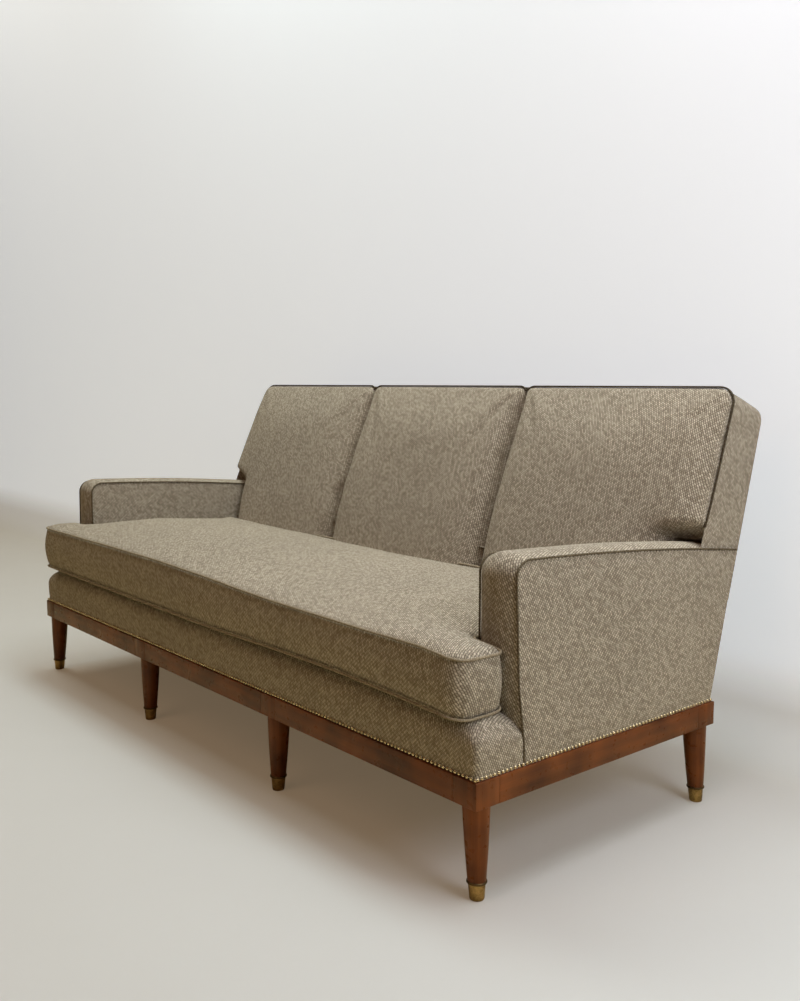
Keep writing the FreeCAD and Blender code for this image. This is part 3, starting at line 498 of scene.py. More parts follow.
@dataclass(frozen=True)
class RawWood(Finish):
    """Planed frame timber without a polish."""

    grain: Grain = Grain.ALONG_X
    light: tuple = (0.60, 0.42, 0.25, 1.0)
    dark: tuple = (0.36, 0.22, 0.11, 1.0)

    def dress(self, tree: Tree, shader: bpy.types.Node) -> None:
        """Fill the timber's nodes."""
        place = tree.place()
        grain = GRAIN.place(tree, along_grain(tree, place, self.grain), Size=0.8)
        share = tree.weighed((grain.outputs["Bands"], 0.5), (grain.outputs["Fibres"], 0.6))
        colour = tree.blend(tree.ramp(share, 0.25, 0.9), self.dark, self.light)
        tree.feed(shader, Base_Color=colour, Roughness=tree.ramp(share, 0.0, 1.0, 0.75, 0.6),
                  Normal=tree.relief(grain.outputs["Fibres"], 0.4, 0.0005))


@dataclass(frozen=True)
class Brass(Finish):
    """Brass with a brown patina that collects in clouds."""

    bright: tuple = (0.55, 0.38, 0.17, 1.0)
    patina: tuple = (0.10, 0.065, 0.032, 1.0)
    tarnish: float = 0.6
    smooth: float = 0.30

    def dress(self, tree: Tree, shader: bpy.types.Node) -> None:
        """Fill the brass's nodes."""
        place = tree.place()
        mottle = MOTTLE.place(tree, place, Broad=45.0, Fine=320.0)
        share = tree.weighed((mottle.outputs["Broad"], 0.65), (mottle.outputs["Fine"], 0.35))
        share = tree.maths("MULTIPLY", share, 2.0 * self.tarnish)
        colour = tree.blend(tree.ramp(share, 0.1, 1.1), self.bright, self.patina)
        tree.feed(shader, Base_Color=colour, Metallic=1.0,
                  Normal=tree.relief(mottle.outputs["Fine"], 0.2, 0.0003),
                  Roughness=tree.ramp(share, 0.0, 1.2, self.smooth, self.smooth + 0.25))


@dataclass(frozen=True)
class Strapping(Finish):
    """Plain-woven jute webbing or black cover cloth."""

    light: tuple = (0.42, 0.31, 0.18, 1.0)
    dark: tuple = (0.16, 0.10, 0.05, 1.0)
    pitch: float = 500.0

    def dress(self, tree: Tree, shader: bpy.types.Node) -> None:
        """Fill the strap's nodes."""
        place = tree.place()
        checks = tree.add("ShaderNodeTexChecker", {"Vector": place, "Scale": self.pitch}).outputs[1]
        mottle = MOTTLE.place(tree, place, Broad=9.0, Fine=150.0)
        share = tree.weighed((checks, 0.55), (mottle.outputs["Fine"], 0.45))
        colour = tree.blend(share, self.dark, self.light)
        tree.feed(shader, Base_Color=colour, Roughness=0.92, Normal=tree.relief(checks, 0.5, 0.0005))


@dataclass(frozen=True)
class Steel(Finish):
    """Zinc-plated screw steel."""

    light: tuple = (0.60, 0.60, 0.60, 1.0)
    dark: tuple = (0.42, 0.43, 0.45, 1.0)

    def dress(self, tree: Tree, shader: bpy.types.Node) -> None:
        """Fill the steel's nodes."""
        place = tree.place()
        mottle = MOTTLE.place(tree, place, Broad=60.0, Fine=900.0)
        colour = tree.blend(mottle.outputs["Fine"], self.dark, self.light)
        tree.feed(shader, Base_Color=colour, Metallic=1.0,
                  Roughness=tree.ramp(mottle.outputs["Broad"], 0.0, 1.0, 0.28, 0.5))


@dataclass(frozen=True)
class Plaster(Finish):
    """Painted floor and wall, paler to the camera, with a warm floor colour for bounced light that paints in
    warm room light, and clear from behind so that it hides nothing.
    """

    floor: tuple = (0.52, 0.555, 0.60, 1.0)
    wall: tuple = (0.67, 0.71, 0.80, 1.0)
    cast: tuple = (0.62, 0.53, 0.33, 1.0)
    bounce: tuple = (0.67, 0.67, 0.67, 1.0)
    floor_glow: tuple = (0.13, 0.095, 0.06, 1.0)
    wall_glow: tuple = (0.395, 0.405, 0.42, 1.0)
    wear: float = 0.97
    rise: float = 0.25

    def dress(self, tree: Tree, shader: bpy.types.Node) -> None:
        """Fill the plaster's nodes."""
        place = tree.place()
        height = tree.add("ShaderNodeSeparateXYZ", {0: place}).outputs[2]
        mottle = MOTTLE.place(tree, place, Broad=1.2, Fine=9.0)
        darker = tuple(self.wear * c for c in self.floor[:3]) + (1.0,)
        floor = tree.blend(mottle.outputs["Broad"], self.floor, darker)
        rise = tree.ramp(height, 0.0, self.rise)
        colour = tree.blend(rise, floor, self.wall)
        seen = tree.add("ShaderNodeLightPath").outputs["Is Camera Ray"]
        # Rays that bounce off the floor take its warm bounce colour instead: painted light, standing in for
        # warm room light on the sofa's front.
        colour = tree.blend(seen, tree.blend(rise, self.cast, self.bounce), colour)
        glow = tree.blend(rise, self.floor_glow, self.wall_glow)
        reverse = tree.add("ShaderNodeNewGeometry").outputs["Backfacing"]
        tree.feed(shader, Base_Color=colour, Specular_IOR_Level=0.2,
                  Alpha=tree.maths("SUBTRACT", 1.0, reverse),
                  Roughness=tree.ramp(mottle.outputs["Fine"], 0.0, 1.0, 0.75, 0.9),
                  Emission_Color=glow, Emission_Strength=seen)


CLOTH = Tweed("tweed_cloth")
DARK_CORD = Cord("dark_piping")
ARM_CORD = Cord("arm_piping", light=(0.31, 0.255, 0.175, 1.0), dark=(0.075, 0.058, 0.038, 1.0))
SEAT_CORD = Cord("seat_piping", light=(0.58, 0.50, 0.39, 1.0), dark=(0.24, 0.195, 0.135, 1.0))
RAIL_WOOD = {axis: PolishedWood("polished_wood_" + axis.name.lower(), grain=axis) for axis in Grain}
FRAME_TIMBER = {axis: RawWood("frame_timber_" + axis.name.lower(), grain=axis) for axis in Grain}
FERRULE_BRASS = Brass("ferrule_brass")
COLLAR_BRASS = Brass("collar_brass", bright=(0.20, 0.13, 0.06, 1.0), tarnish=0.9, smooth=0.4)
NAIL_BRASS = Brass("nail_brass", bright=(0.86, 0.74, 0.50, 1.0), patina=(0.30, 0.20, 0.10, 1.0),
                   tarnish=0.35, smooth=0.20)
JUTE = Strapping("jute_webbing")
COVER_CLOTH = Strapping("black_cover_cloth", light=(0.035, 0.035, 0.035, 1.0),
                        dark=(0.012, 0.012, 0.012, 1.0), pitch=900.0)
SCREW_STEEL = Steel("screw_steel")


# Shared sizes and mesh work


@dataclass(frozen=True)
class SofaPlan:
    """Sizes that several sub-assemblies share, in metres, and the planes worked out from them."""

    half_plinth: float = 1.0
    plinth_front: float = -0.467
    plinth_back: float = 0.269
    floor_gap: float = 0.178
    plinth_top: float = 0.229
    reveal: float = 0.006
    side_lean: float = 0.0425
    knee_y: float = 0.182
    knee_z: float = 0.449
    top_z: float = 0.9195
    top_y: float = 0.3713
    rear_y: float = 0.484
    rear_z: float = 0.8745
    deck_top: float = 0.3427
    arm_front: float = -0.348
    arm_inner: float = 0.888
    arm_height: float = 0.609
    arm_fall: float = 0.053
    arm_corner: float = 0.032
    arm_slope: float = math.radians(1.8)
    cord_radius: float = 0.00275
    back_inset: float = 0.004
    clearance: float = 0.0001

    @property
    def hem_half(self) -> float:
        """Half width of the upholstery at the plinth."""
        return self.half_plinth - self.reveal

    @property
    def hem_front(self) -> float:
        """Front of the upholstery at the plinth."""
        return self.plinth_front + self.reveal

    @property
    def hem_rear(self) -> float:
        """Rear of the upholstery at the plinth."""
        return self.plinth_back - self.reveal

    @property
    def rake(self) -> float:
        """Angle of the back's front plane from upright."""
        return math.atan2(self.top_y - self.knee_y, self.top_z - self.knee_z)

    @property
    def back_length(self) -> float:
        """Length of the back's front plane up the rake."""
        return (self.top_z - self.knee_z) / math.cos(self.rake)

    @property
    def rear_slope(self) -> float:
        """How far the outside of the back goes to the rear with each metre up."""
        return (self.rear_y - self.hem_rear) / (self.rear_z - self.plinth_top)

    def side_line(self, z: float) -> float:
        """Half width of the upholstery at height z."""
        return self.hem_half - (z - self.plinth_top) * self.side_lean

    def rear_line(self, z: float) -> float:
        """Depth of the raked outside of the back at height z."""
        return self.hem_rear + (z - self.plinth_top) * self.rear_slope

    def front_line(self, z: float) -> float:
        """Depth of the raked front plane of the back at height z."""
        return self.knee_y + (z - self.knee_z) * math.tan(self.rake)

    def back_half(self, length: float) -> float:
        """Half width of the back at a length up the rake."""
        return self.side_line(self.knee_z + length * math.cos(self.rake)) - self.back_inset

    @property
    def up(self) -> Vector:
        """The way up the back's front plane."""
        return Vector((0.0, math.sin(self.rake), math.cos(self.rake)))

    @property
    def out(self) -> Vector:
        """The way out of the back's front plane."""
        return Vector((0.0, -math.cos(self.rake), math.sin(self.rake)))

    def raked(self) -> Matrix:
        """The back's own frame: x across, y up the rake, z out of the front plane."""
        up, out = self.up, self.out
        return Matrix(((1, up.x, out.x, 0), (0, up.y, out.y, self.knee_y), (0, up.z, out.z, self.knee_z),
                       (0, 0, 0, 1)))


PLAN = SofaPlan()


def add_object(name: str, data: bpy.types.ID) -> bpy.types.Object:
    """Put data in the scene as an object."""
    made = bpy.data.objects.new(name, data)
    bpy.context.scene.collection.objects.link(made)
    return made


def fade(value: float, low: float, reach: float) -> float:
    """Where a value lies on a stretch, from 0 at its low end to 1 at its reach, clamped."""
    return max(0.0, min(1.0, (value - low) / reach))


@dataclass(frozen=True)
class ArmLine:
    """The arm's side outline: up its front, round its corner and back along its top."""

    plan: SofaPlan = PLAN
    rear_tuck: float = 0.010
    foot_depth: float = 0.011
    foot_top: float = 0.40
    foot_rise: float = 0.15
    foot_end: float = -0.25
    foot_reach: float = 0.09

    @property
    def corner(self) -> Vector:
        """Centre of the rounded front corner, as (y, z)."""
        plan = self.plan
        return Vector((plan.arm_front + plan.arm_corner,
                       plan.arm_height - plan.arm_corner * math.cos(plan.arm_slope)))

    @property
    def top(self) -> tuple[Vector, float, float, float]:
        """Centre (y, z), radius and first and last angle of the arc along the top."""
        plan = self.plan
        start = plan.arm_front + plan.arm_corner * (1 + math.sin(plan.arm_slope))
        run = plan.rear_line(plan.arm_height - plan.arm_fall) - self.rear_tuck - start
        chord = math.atan2(plan.arm_fall, run)
        radius = math.hypot(plan.arm_fall, run) / (2 * math.sin(chord - plan.arm_slope))
        centre = Vector((start - radius * math.sin(plan.arm_slope),
                         plan.arm_height - radius * math.cos(plan.arm_slope)))
        return centre, radius, plan.arm_slope, 2 * chord - plan.arm_slope

    def points(self, grow: float, low: float, corner_steps: int = 8, top_steps: int = 24) -> list[Vector]:
        """Points along the outline.

        Args:
            grow: How far outside the outline they lie.
            low: Height of the first point.
            corner_steps: Steps round the corner.
            top_steps: Steps along the top.

        Returns:
            Points as (y, z).
        """
        centre, radius, first, last = self.top
        path = [Vector((self.plan.arm_front - grow, low))]
        for i in range(corner_steps + 1):
            t = -math.pi / 2 + (first + math.pi / 2) * i / corner_steps
            path.append(self.corner + (self.plan.arm_corner + grow) * Vector((math.sin(t), math.cos(t))))
        for i in range(1, top_steps + 1):
            t = first + (last - first) * i / top_steps
            path.append(centre + (radius + grow) * Vector((math.sin(t), math.cos(t))))
        return path

    def foot(self, y: float, z: float) -> float:
        """How far the arm's front lies back near its foot."""
        low = fade(-z, -self.foot_top, self.foot_rise)
        ahead = fade(-y, -self.foot_end, self.foot_reach)
        return self.foot_depth * low * low * (3 - 2 * low) * ahead

    def length_at(self, y: float, z: float) -> float:
        """Length along the outline of its point nearest to (y, z), from the floor."""
        corner = self.corner
        centre, radius, first, _ = self.top
        if z < corner.y and y < corner.x:
            return z
        turn = math.atan2(y - corner.x, z - corner.y)
        if y < corner.x + 0.002:
            return corner.y + (turn + math.pi / 2) * self.plan.arm_corner
        start = corner.y + (first + math.pi / 2) * self.plan.arm_corner
        return start + (math.atan2(y - centre.x, z - centre.y) - first) * radius


class Bench:
    """Turns finished meshes into pieces of the sofa."""

    @staticmethod
    def verts_of(made: Sequence) -> list[bmesh.types.BMVert]:
        """The points among the parts that a mesh operator made."""
        return [part for part in made if isinstance(part, bmesh.types.BMVert)]

    @staticmethod
    def edges_of(made: Sequence) -> list[bmesh.types.BMEdge]:
        """The edges among the parts that a mesh operator made."""
        return [part for part in made if isinstance(part, bmesh.types.BMEdge)]

    @staticmethod
    def block(bm: bmesh.types.BMesh, centre: Sequence[float], size: Sequence[float]) -> dict:
        """Add a box.

        Args:
            bm: The mesh that gets it.
            centre: The box's centre.
            size: Its three sizes.

        Returns:
            What the mesh operator gives.
        """
        place = Matrix.Translation(centre) @ Matrix.Diagonal((*size, 1))
        return bmesh.ops.create_cube(bm, size=1.0, matrix=place)

    @staticmethod
    def ease(bm: bmesh.types.BMesh, edges: Sequence[bmesh.types.BMEdge], width: float) -> None:
        """Round off edges.

        Args:
            bm: The mesh.
            edges: Its edges that are eased.
            width: How wide the rounding is.
        """
        bmesh.ops.bevel(bm, geom=edges, offset=width, segments=3, profile=0.5, affect="EDGES", material=-1)

    @staticmethod
    def thicken(bm: bmesh.types.BMesh, face: bmesh.types.BMFace, depth: float) -> None:
        """Draw a flat face out into a slab.

        Args:
            bm: The mesh.
            face: The face.
            depth: How far it is drawn along z.
        """
        grown = bmesh.ops.extrude_face_region(bm, geom=[face])["geom"]
        bmesh.ops.translate(bm, verts=Bench.verts_of(grown), vec=(0, 0, depth))

    @staticmethod
    def object_of(bm: bmesh.types.BMesh, name: str, weld: float = 1e-5) -> bpy.types.Object:
        """Make an object of a bmesh, with its doubles merged and its faces outwards.

        Args:
            bm: The mesh, which is freed.
            name: The object's name.
            weld: How near doubles lie.

        Returns:
            The object.
        """
        bmesh.ops.remove_doubles(bm, verts=bm.verts, dist=weld)
        bmesh.ops.recalc_face_normals(bm, faces=bm.faces)
        mesh = bpy.data.meshes.new(name)
        bm.to_mesh(mesh)
        bm.free()
        return add_object(name, mesh)

    @staticmethod
    def dress(piece: bpy.types.Object, finish: Finish, body: Body, slot: Slot,
              replaces: Sequence[str] = (), sharp: Optional[float] = None) -> bpy.types.Object:
        """Give a piece its finish, its shading and its place in the frame.

        Args:
            piece: The piece.
            finish: Its finish.
            body: The body that it rides on.
            slot: The record slot of its finish; not used.
            replaces: The CAD nodes that it stands for.
            sharp: Angle in degrees past which an edge stays sharp.

        Returns:
            The piece.
        """
        piece.data.materials.clear()
        piece.data.materials.append(finish.material())
        piece.data.shade_smooth()
        if sharp is not None:
            piece.data.set_sharp_from_angle(angle=math.radians(sharp))
        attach(piece, body.value)
        if replaces:
            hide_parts(*replaces)
        LOG.info("%s: %d faces", piece.name, len(piece.data.polygons))
        return piece

    @staticmethod
    def upholster(piece: bpy.types.Object, node: str, fill: float, sharp: Optional[float] = None,
                  body: Body = Body.FRAME) -> None:
        """Dress a stuffed piece in tweed.

        Args:
            piece: The piece, with its weave map.
            node: The CAD node that it stands for.
            fill: How firmly it is stuffed; not used.
            sharp: Angle in degrees past which an edge stays sharp.
            body: The body that it rides on.
        """
        Bench.dress(piece, CLOTH, body, Slot.TWEED, [node], sharp)

    @staticmethod
    def inset(bm: bmesh.types.BMesh, faces: Sequence[bmesh.types.BMFace], width: float) -> None:
        """Draw a band of faces inside the rim of others.

        Args:
            bm: The mesh.
            faces: The faces.
            width: How wide the band is.
        """
        bmesh.ops.inset_region(bm, faces=faces, thickness=width, depth=0.0, use_even_offset=True)

    @staticmethod
    def points(piece: bpy.types.Object) -> np.ndarray:
        """The piece's points as rows of three numbers."""
        flat = np.empty(len(piece.data.vertices) * 3)
        piece.data.vertices.foreach_get("co", flat)
        return flat.reshape(-1, 3)

    @staticmethod
    def place(piece: bpy.types.Object, points: np.ndarray) -> None:
        """Move the piece's points.

        Args:
            piece: The piece.
            points: New places, one row each.
        """
        piece.data.vertices.foreach_set("co", points.ravel())
        piece.data.update()

    @staticmethod
    def weave(piece: bpy.types.Object,
              charts: Sequence[tuple[Vector, Vector, Vector]]) -> None:
        """Lay the weave map flat on each face, along the chart that it faces.

        Args:
            piece: The piece.
            charts: For each chart the way it faces, and the ways of its rows' length and rise.
        """
        mesh = piece.data
        layer = mesh.uv_layers.get("weave") or mesh.uv_layers.new(name="weave")
        faces = len(mesh.polygons)
        normals = np.empty(faces * 3)
        mesh.polygons.foreach_get("normal", normals)
        totals = np.empty(faces, int)
        mesh.polygons.foreach_get("loop_total", totals)
        corners = np.empty(len(mesh.loops), int)
        mesh.loops.foreach_get("vertex_index", corners)
        facing = np.argmax(normals.reshape(-1, 3) @ np.array([c[0] for c in charts]).T, axis=1)
        each = np.repeat(facing, totals)
        at = Bench.points(piece)[corners]
        across = np.array([c[1] for c in charts])[each]
        rise = np.array([c[2] for c in charts])[each]
        chart = np.stack(((at * across).sum(1), (at * rise).sum(1)), axis=1)
        layer.data.foreach_set("uv", chart.ravel())

    @staticmethod
    def box_weave(piece: bpy.types.Object) -> None:
        """Lay the weave map along the six main directions.

        Args:
            piece: The piece.
        """
        x, y, z = Vector((1, 0, 0)), Vector((0, 1, 0)), Vector((0, 0, 1))
        Bench.weave(piece, [(x, y, z), (-x, y, z), (y, x, z), (-y, x, z), (z, x, y), (-z, x, y)])

    @staticmethod
    def remesh(piece: bpy.types.Object, voxel: float) -> None:
        """Give a closed form even quads.

        Args:
            piece: The piece, whose mesh is replaced.
            voxel: Size of a quad.
        """
        step = piece.modifiers.new("even", "REMESH")
        step.mode = "VOXEL"
        step.voxel_size = voxel
        step.use_smooth_shade = True
        graph = bpy.context.evaluated_depsgraph_get()
        old = piece.data
        piece.data = bpy.data.meshes.new_from_object(piece.evaluated_get(graph))
        piece.modifiers.clear()
        bpy.data.meshes.remove(old)
        piece.data.name = piece.name

    @staticmethod
    def crosscut(bm: bmesh.types.BMesh, axis: int, step: float) -> None:
        """Cut a mesh with evenly spaced planes across one axis.

        Args:
            bm: The mesh.
            axis: The axis that the planes stand across.
            step: Their distance apart.
        """
        low = min(v.co[axis] for v in bm.verts)
        high = max(v.co[axis] for v in bm.verts)
        normal = Vector((float(axis == 0), float(axis == 1), float(axis == 2)))
        for k in range(1, math.ceil((high - low) / step)):
            bmesh.ops.bisect_plane(bm, geom=bm.verts[:] + bm.edges[:] + bm.faces[:],
                                   plane_co=normal * (low + k * step), plane_no=normal)

    @staticmethod
    def cord(name: str, path: Sequence[Vector], radius: float, closed: bool = False) -> bpy.types.Object:
        """Make a round cord along a smooth path.

        Args:
            name: The object's name.
            path: Points that the cord follows.
            radius: Its radius.
            closed: Whether it closes on itself.

        Returns:
            The cord as a mesh object.
        """
        curve = bpy.data.curves.new(name, "CURVE")
        curve.dimensions = "3D"
        curve.bevel_depth = radius
        curve.bevel_resolution = 2
        curve.use_fill_caps = not closed
        spline = curve.splines.new("POLY")
        spline.points.add(len(path) - 1)
        for point, place in zip(spline.points, path):
            point.co = (*place, 1.0)
        spline.use_cyclic_u = closed
        holder = add_object(name + "_path", curve)
        graph = bpy.context.evaluated_depsgraph_get()
        mesh = bpy.data.meshes.new_from_object(holder.evaluated_get(graph))
        bpy.data.objects.remove(holder)
        bpy.data.curves.remove(curve)
        mesh.name = name
        return add_object(name, mesh)


def rounded_face(bm: bmesh.types.BMesh, corners: Sequence[tuple[float, float, float]],
                 segments: int = 6) -> bmesh.types.BMFace:
    """Make a flat face with rounded corners.

    Args:
        bm: The empty mesh that gets it.
        corners: Each corner's x, y and radius, anticlockwise.
        segments: Segments in each rounded corner.

    Returns:
        The face.
    """
    verts = [bm.verts.new((x, y, 0.0)) for x, y, _ in corners]
    bm.faces.new(verts)
    places = [Vector((x, y, 0.0)) for x, y, _ in corners]
    for i, vert in enumerate(verts):
        radius = corners[i][2]
        if radius <= 0:
            continue
        back = places[i - 1] - places[i]
        ahead = places[(i + 1) % len(places)] - places[i]
        reach = radius / math.tan(back.angle(ahead) / 2)
        bmesh.ops.bevel(bm, geom=[vert], offset=reach, segments=segments, profile=0.5, affect="VERTICES",
                        material=-1)
    return next(iter(bm.faces))


def outline_of(corners: Sequence[tuple[float, float, float]], steps: int = 8) -> np.ndarray:
    """Points round a flat outline with rounded corners.

    Args:
        corners: Each corner's x, y and radius.
        steps: Steps round each corner.

    Returns:
        The points, one row each.
    """
    points = []
    count = len(corners)
    for i, (x, y, radius) in enumerate(corners):
        here = Vector((x, y))
        back = (Vector(corners[i - 1][:2]) - here).normalized()
        ahead = (Vector(corners[(i + 1) % count][:2]) - here).normalized()
        if radius <= 0:
            points.append(here)
            continue
        half = back.angle(ahead) / 2
        centre = here + (back + ahead).normalized() * (radius / math.sin(half))
        start = here + back * (radius / math.tan(half)) - centre
        end = here + ahead * (radius / math.tan(half)) - centre
        for k in range(steps + 1):
            turn = start.angle_signed(end) * k / steps
            points.append(centre + Matrix.Rotation(-turn, 2) @ start)
    return np.array([tuple(p) for p in points])


def runs_of(outline: np.ndarray, points: np.ndarray) -> Iterator[tuple[np.ndarray, np.ndarray]]:
    """The runs between the points of a closed outline.

    Args:
        outline: The outline's points.
        points: Other points, as rows of two numbers.

    Yields:
        Each run as a vector, and every point's distance from it.
    """
    for a, b in zip(outline, np.roll(outline, -1, axis=0)):
        run = b - a
        size = float(run @ run)
        if size < 1e-12:
            continue
        share = np.clip(((points - a) @ run) / size, 0.0, 1.0)
        yield run, np.hypot(*(points - a - share[:, None] * run).T)


def distance_to(outline: np.ndarray, points: np.ndarray) -> np.ndarray:
    """Distance of points from a closed outline.

    Args:
        outline: The outline's points.
        points: The points, as rows of two numbers.

    Returns:
        One distance for each point.
    """
    best = np.full(len(points), np.inf)
    for _, gap in runs_of(outline, points):
        best = np.minimum(best, gap)
    return best


def rise_of(distance: np.ndarray, reach: float, fullness: float) -> np.ndarray:
    """Share of a crown's height at a distance inside its seam.

    Args:
        distance: Distances from the seam.
        reach: Distance at which the crown is full.
        fullness: How square the crown's shoulder is.

    Returns:
        Shares from 0 to 1.
    """
    left = 1.0 - np.clip(distance / reach, 0.0, 1.0)
    return (1.0 - left ** fullness) ** (1.0 / fullness)


def waves(points: np.ndarray, size: float, seed: float) -> np.ndarray:
    """Smooth unevenness, from -1 to 1, at each point.

    Args:
        points: Points, as rows of three numbers.
        size: Length of a wave in metres.
        seed: Moves the pattern.

    Returns:
        One number for each point.
    """
    return np.array([noise.noise(Vector(p) / size + Vector((seed, seed, seed))) for p in points])


@dataclass(frozen=True)
class Stuffing:
    """Swells a closed form's cloth between the points that its seams hold."""

    pressure: float = 4.0
    frames: int = 20
    cap: float = 0.022
    quality: int = 5
    mass: float = 0.3
    stretch: float = 20.0
    shear: float = 8.0
    bend: float = 2.0

    def swell(self, piece: bpy.types.Object, held: np.ndarray) -> None:
        """Run the cloth simulation and keep its result in the mesh.

        Args:
            piece: The piece, at rest.
            held: For each point, whether a seam holds its place.
        """
        scene = bpy.context.scene
        group = piece.vertex_groups.new(name="seams")
        group.add([int(i) for i in np.flatnonzero(held)], 1.0, "REPLACE")
        cloth = piece.modifiers.new("stuffing", "CLOTH")
        settings = cloth.settings
        settings.quality = self.quality
        settings.mass = self.mass
        settings.tension_stiffness = settings.compression_stiffness = self.stretch
        settings.shear_stiffness = self.shear
        settings.bending_stiffness = self.bend
        settings.vertex_group_mass = group.name
        settings.use_pressure = True
        settings.uniform_pressure_force = self.pressure
        settings.effector_weights.gravity = 0.0
        cloth.collision_settings.use_collision = False
        cloth.collision_settings.use_self_collision = False
        cloth.point_cache.frame_start = 1
        cloth.point_cache.frame_end = self.frames
        before = Bench.points(piece)
        for step in range(1, self.frames + 1):
            scene.frame_set(step)
        graph = bpy.context.evaluated_depsgraph_get()
        after = np.empty(len(before) * 3)
        piece.evaluated_get(graph).data.vertices.foreach_get("co", after)
        move = after.reshape(-1, 3) - before
        size = np.linalg.norm(move, axis=1)
        scale = np.minimum(1.0, self.cap / np.maximum(size, 1e-9))
        piece.modifiers.clear()
        piece.vertex_groups.clear()
        scene.frame_set(1)
        Bench.place(piece, before + move * scale[:, None])
        LOG.info("%s swelled by %.1f mm at most", piece.name, 1000 * float((size * scale).max()))


# Sub-assemblies


@dataclass
class Plinth:
    """Polished rails between square-headed tapered legs with brass ferrules."""

    head: float = 0.060
    arris: float = 0.0014
    neck: float = 0.0022
    neck_step: float = 0.0012
    entasis: float = 0.0007
    lap: float = 0.001
    top_radius: float = 0.026
    ankle_radius: float = 0.0175
    ankle: float = 0.036
    splay_out: float = 0.008
    splay_forward: float = 0.004
    sole_radius: float = 0.014
    cup_radius: float = 0.0165
    collar_radius: float = 0.0195
    collar: float = 0.005
    collar_round: float = 0.0022
    sole_round: float = 0.003
    turns: int = 40
    rail_end: float = 0.024
    names: tuple = ("left", "mid_left", "mid_right", "right")

    def leg_xs(self) -> list[float]:
        """The x of each leg in a row."""
        corner = PLAN.half_plinth - self.head / 2
        return [corner * (2 * i / 3 - 1) for i in range(4)]

    def row_y(self, row: str) -> float:
        """The y of the front or the rear row."""
        return PLAN.plinth_front + self.head / 2 if row == "front" else PLAN.plinth_back - self.head / 2

    def slant(self, bm: bmesh.types.BMesh, row: str, name: str, x: float) -> None:
        """Lean upright turned work like its leg, and bring it to its place.

        Args:
            bm: The work, round the z axis.
            row: front or rear, which is also the way that it leans along y.
            name: The leg's place in the row, which gives the way that it leans along x.
            x: The leg's x.
        """
        y = self.row_y(row)
        end = -1.0 if row == "front" else 1.0
        side = {"left": -1.0, "right": 1.0}.get(name, 0.0)
        for vert in bm.verts:
            share = max(0.0, (PLAN.floor_gap - vert.co.z) / PLAN.floor_gap)
            vert.co.x += x + side * self.splay_out * share
            vert.co.y += y + end * self.splay_forward * share

    def turned(self, profile: Sequence[tuple[float, float]]) -> bmesh.types.BMesh:
        """Spin a profile into a closed turned form.

        Args:
            profile: Radius and height of each point, from the axis round to the axis.

        Returns:
            The form, round the z axis.
        """
        bm = bmesh.new()
        verts = [bm.verts.new((radius, 0.0, z)) for radius, z in profile]
        edges = [bm.edges.new(pair) for pair in zip(verts, verts[1:])]
        bmesh.ops.spin(bm, geom=verts + edges, cent=(0, 0, 0), axis=(0, 0, 1), angle=2 * math.pi,
                       steps=self.turns, use_merge=True, use_duplicate=False)
        bmesh.ops.remove_doubles(bm, verts=bm.verts, dist=1e-6)
        return bm

    def leg(self, row: str, name: str, x: float) -> None:
        """Make one leg: its square head and its tapered stem.

        Args:
            row: front or rear.
            name: The leg's place in the row.
            x: The leg's x.
        """
        gap = PLAN.floor_gap
        foot = self.ankle + PLAN.clearance
        profile = [(0.0, foot), (self.ankle_radius, foot)]
        for share in (i / 8 for i in range(1, 9)):
            swell = self.entasis * math.sin(math.pi * share)
            profile.append((self.ankle_radius + (self.top_radius - self.ankle_radius) * share + swell,
                            self.ankle + (gap - self.neck - self.ankle) * share))
        tenon = self.top_radius - self.neck_step
        profile += [(tenon, gap - self.neck / 2), (tenon, gap + self.lap), (0.0, gap + self.lap)]
        bm = self.turned(profile)
        self.slant(bm, row, name, x)
        height = PLAN.plinth_top - gap
        head = Bench.block(bm, (x, self.row_y(row), gap + height / 2), (self.head, self.head, height))
        Bench.ease(bm, list({edge for vert in head["verts"] for edge in vert.link_edges}), self.arris)
        piece = Bench.object_of(bm, f"leg_{row}_{name}_turned")
        Bench.dress(piece, RAIL_WOOD[Grain.ALONG_Z], Body.FRAME, Slot.POLISHED, [f"leg_{row}_{name}"],
                    sharp=35)

    def ferrules(self, row: str) -> None:
        """Make the four brass cups and collars of one row.

        Args:
            row: front or rear.
        """
        shoulder = self.ankle - self.collar
        cup = [(0.0, 0.0), (self.sole_radius - self.sole_round, 0.0), (self.sole_radius - 0.0008, 0.0009),
               (self.sole_radius, self.sole_round)]
        for share in (i / 4 for i in range(1, 5)):
            cup.append((self.sole_radius + (self.cup_radius - self.sole_radius) * share,
                        self.sole_round + (shoulder - self.sole_round) * share))
        cup += [(self.cup_radius - 0.0009, shoulder + 0.0004), (self.cup_radius - 0.0009, self.ankle),
                (0.0, self.ankle)]
        middle = shoulder + self.collar / 2
        ring = [(self.collar_radius - self.collar_round + self.collar_round * math.cos(turn),
                 middle + self.collar / 2 * math.sin(turn))
                for turn in (math.pi * (i / 8 - 0.5) for i in range(9))]
        ring = [(self.cup_radius - 0.002, shoulder)] + ring + [(self.cup_radius - 0.002, self.ankle)]
        for part, profile, finish in (("cups", cup, FERRULE_BRASS), ("collars", ring, COLLAR_BRASS)):
            whole = bmesh.new()
            for x, name in zip(self.leg_xs(), self.names):
                bm = self.turned(profile)
                self.slant(bm, row, name, x)
                mesh = bpy.data.meshes.new("turned")
                bm.to_mesh(mesh)
                bm.free()
                whole.from_mesh(mesh)
                bpy.data.meshes.remove(mesh)
            piece = Bench.object_of(whole, f"ferrule_{part}_{row}")
            stands = [f"ferrules_{row}"] if part == "cups" else []
            Bench.dress(piece, finish, Body.FRAME, Slot.BRASS, stands, sharp=40)

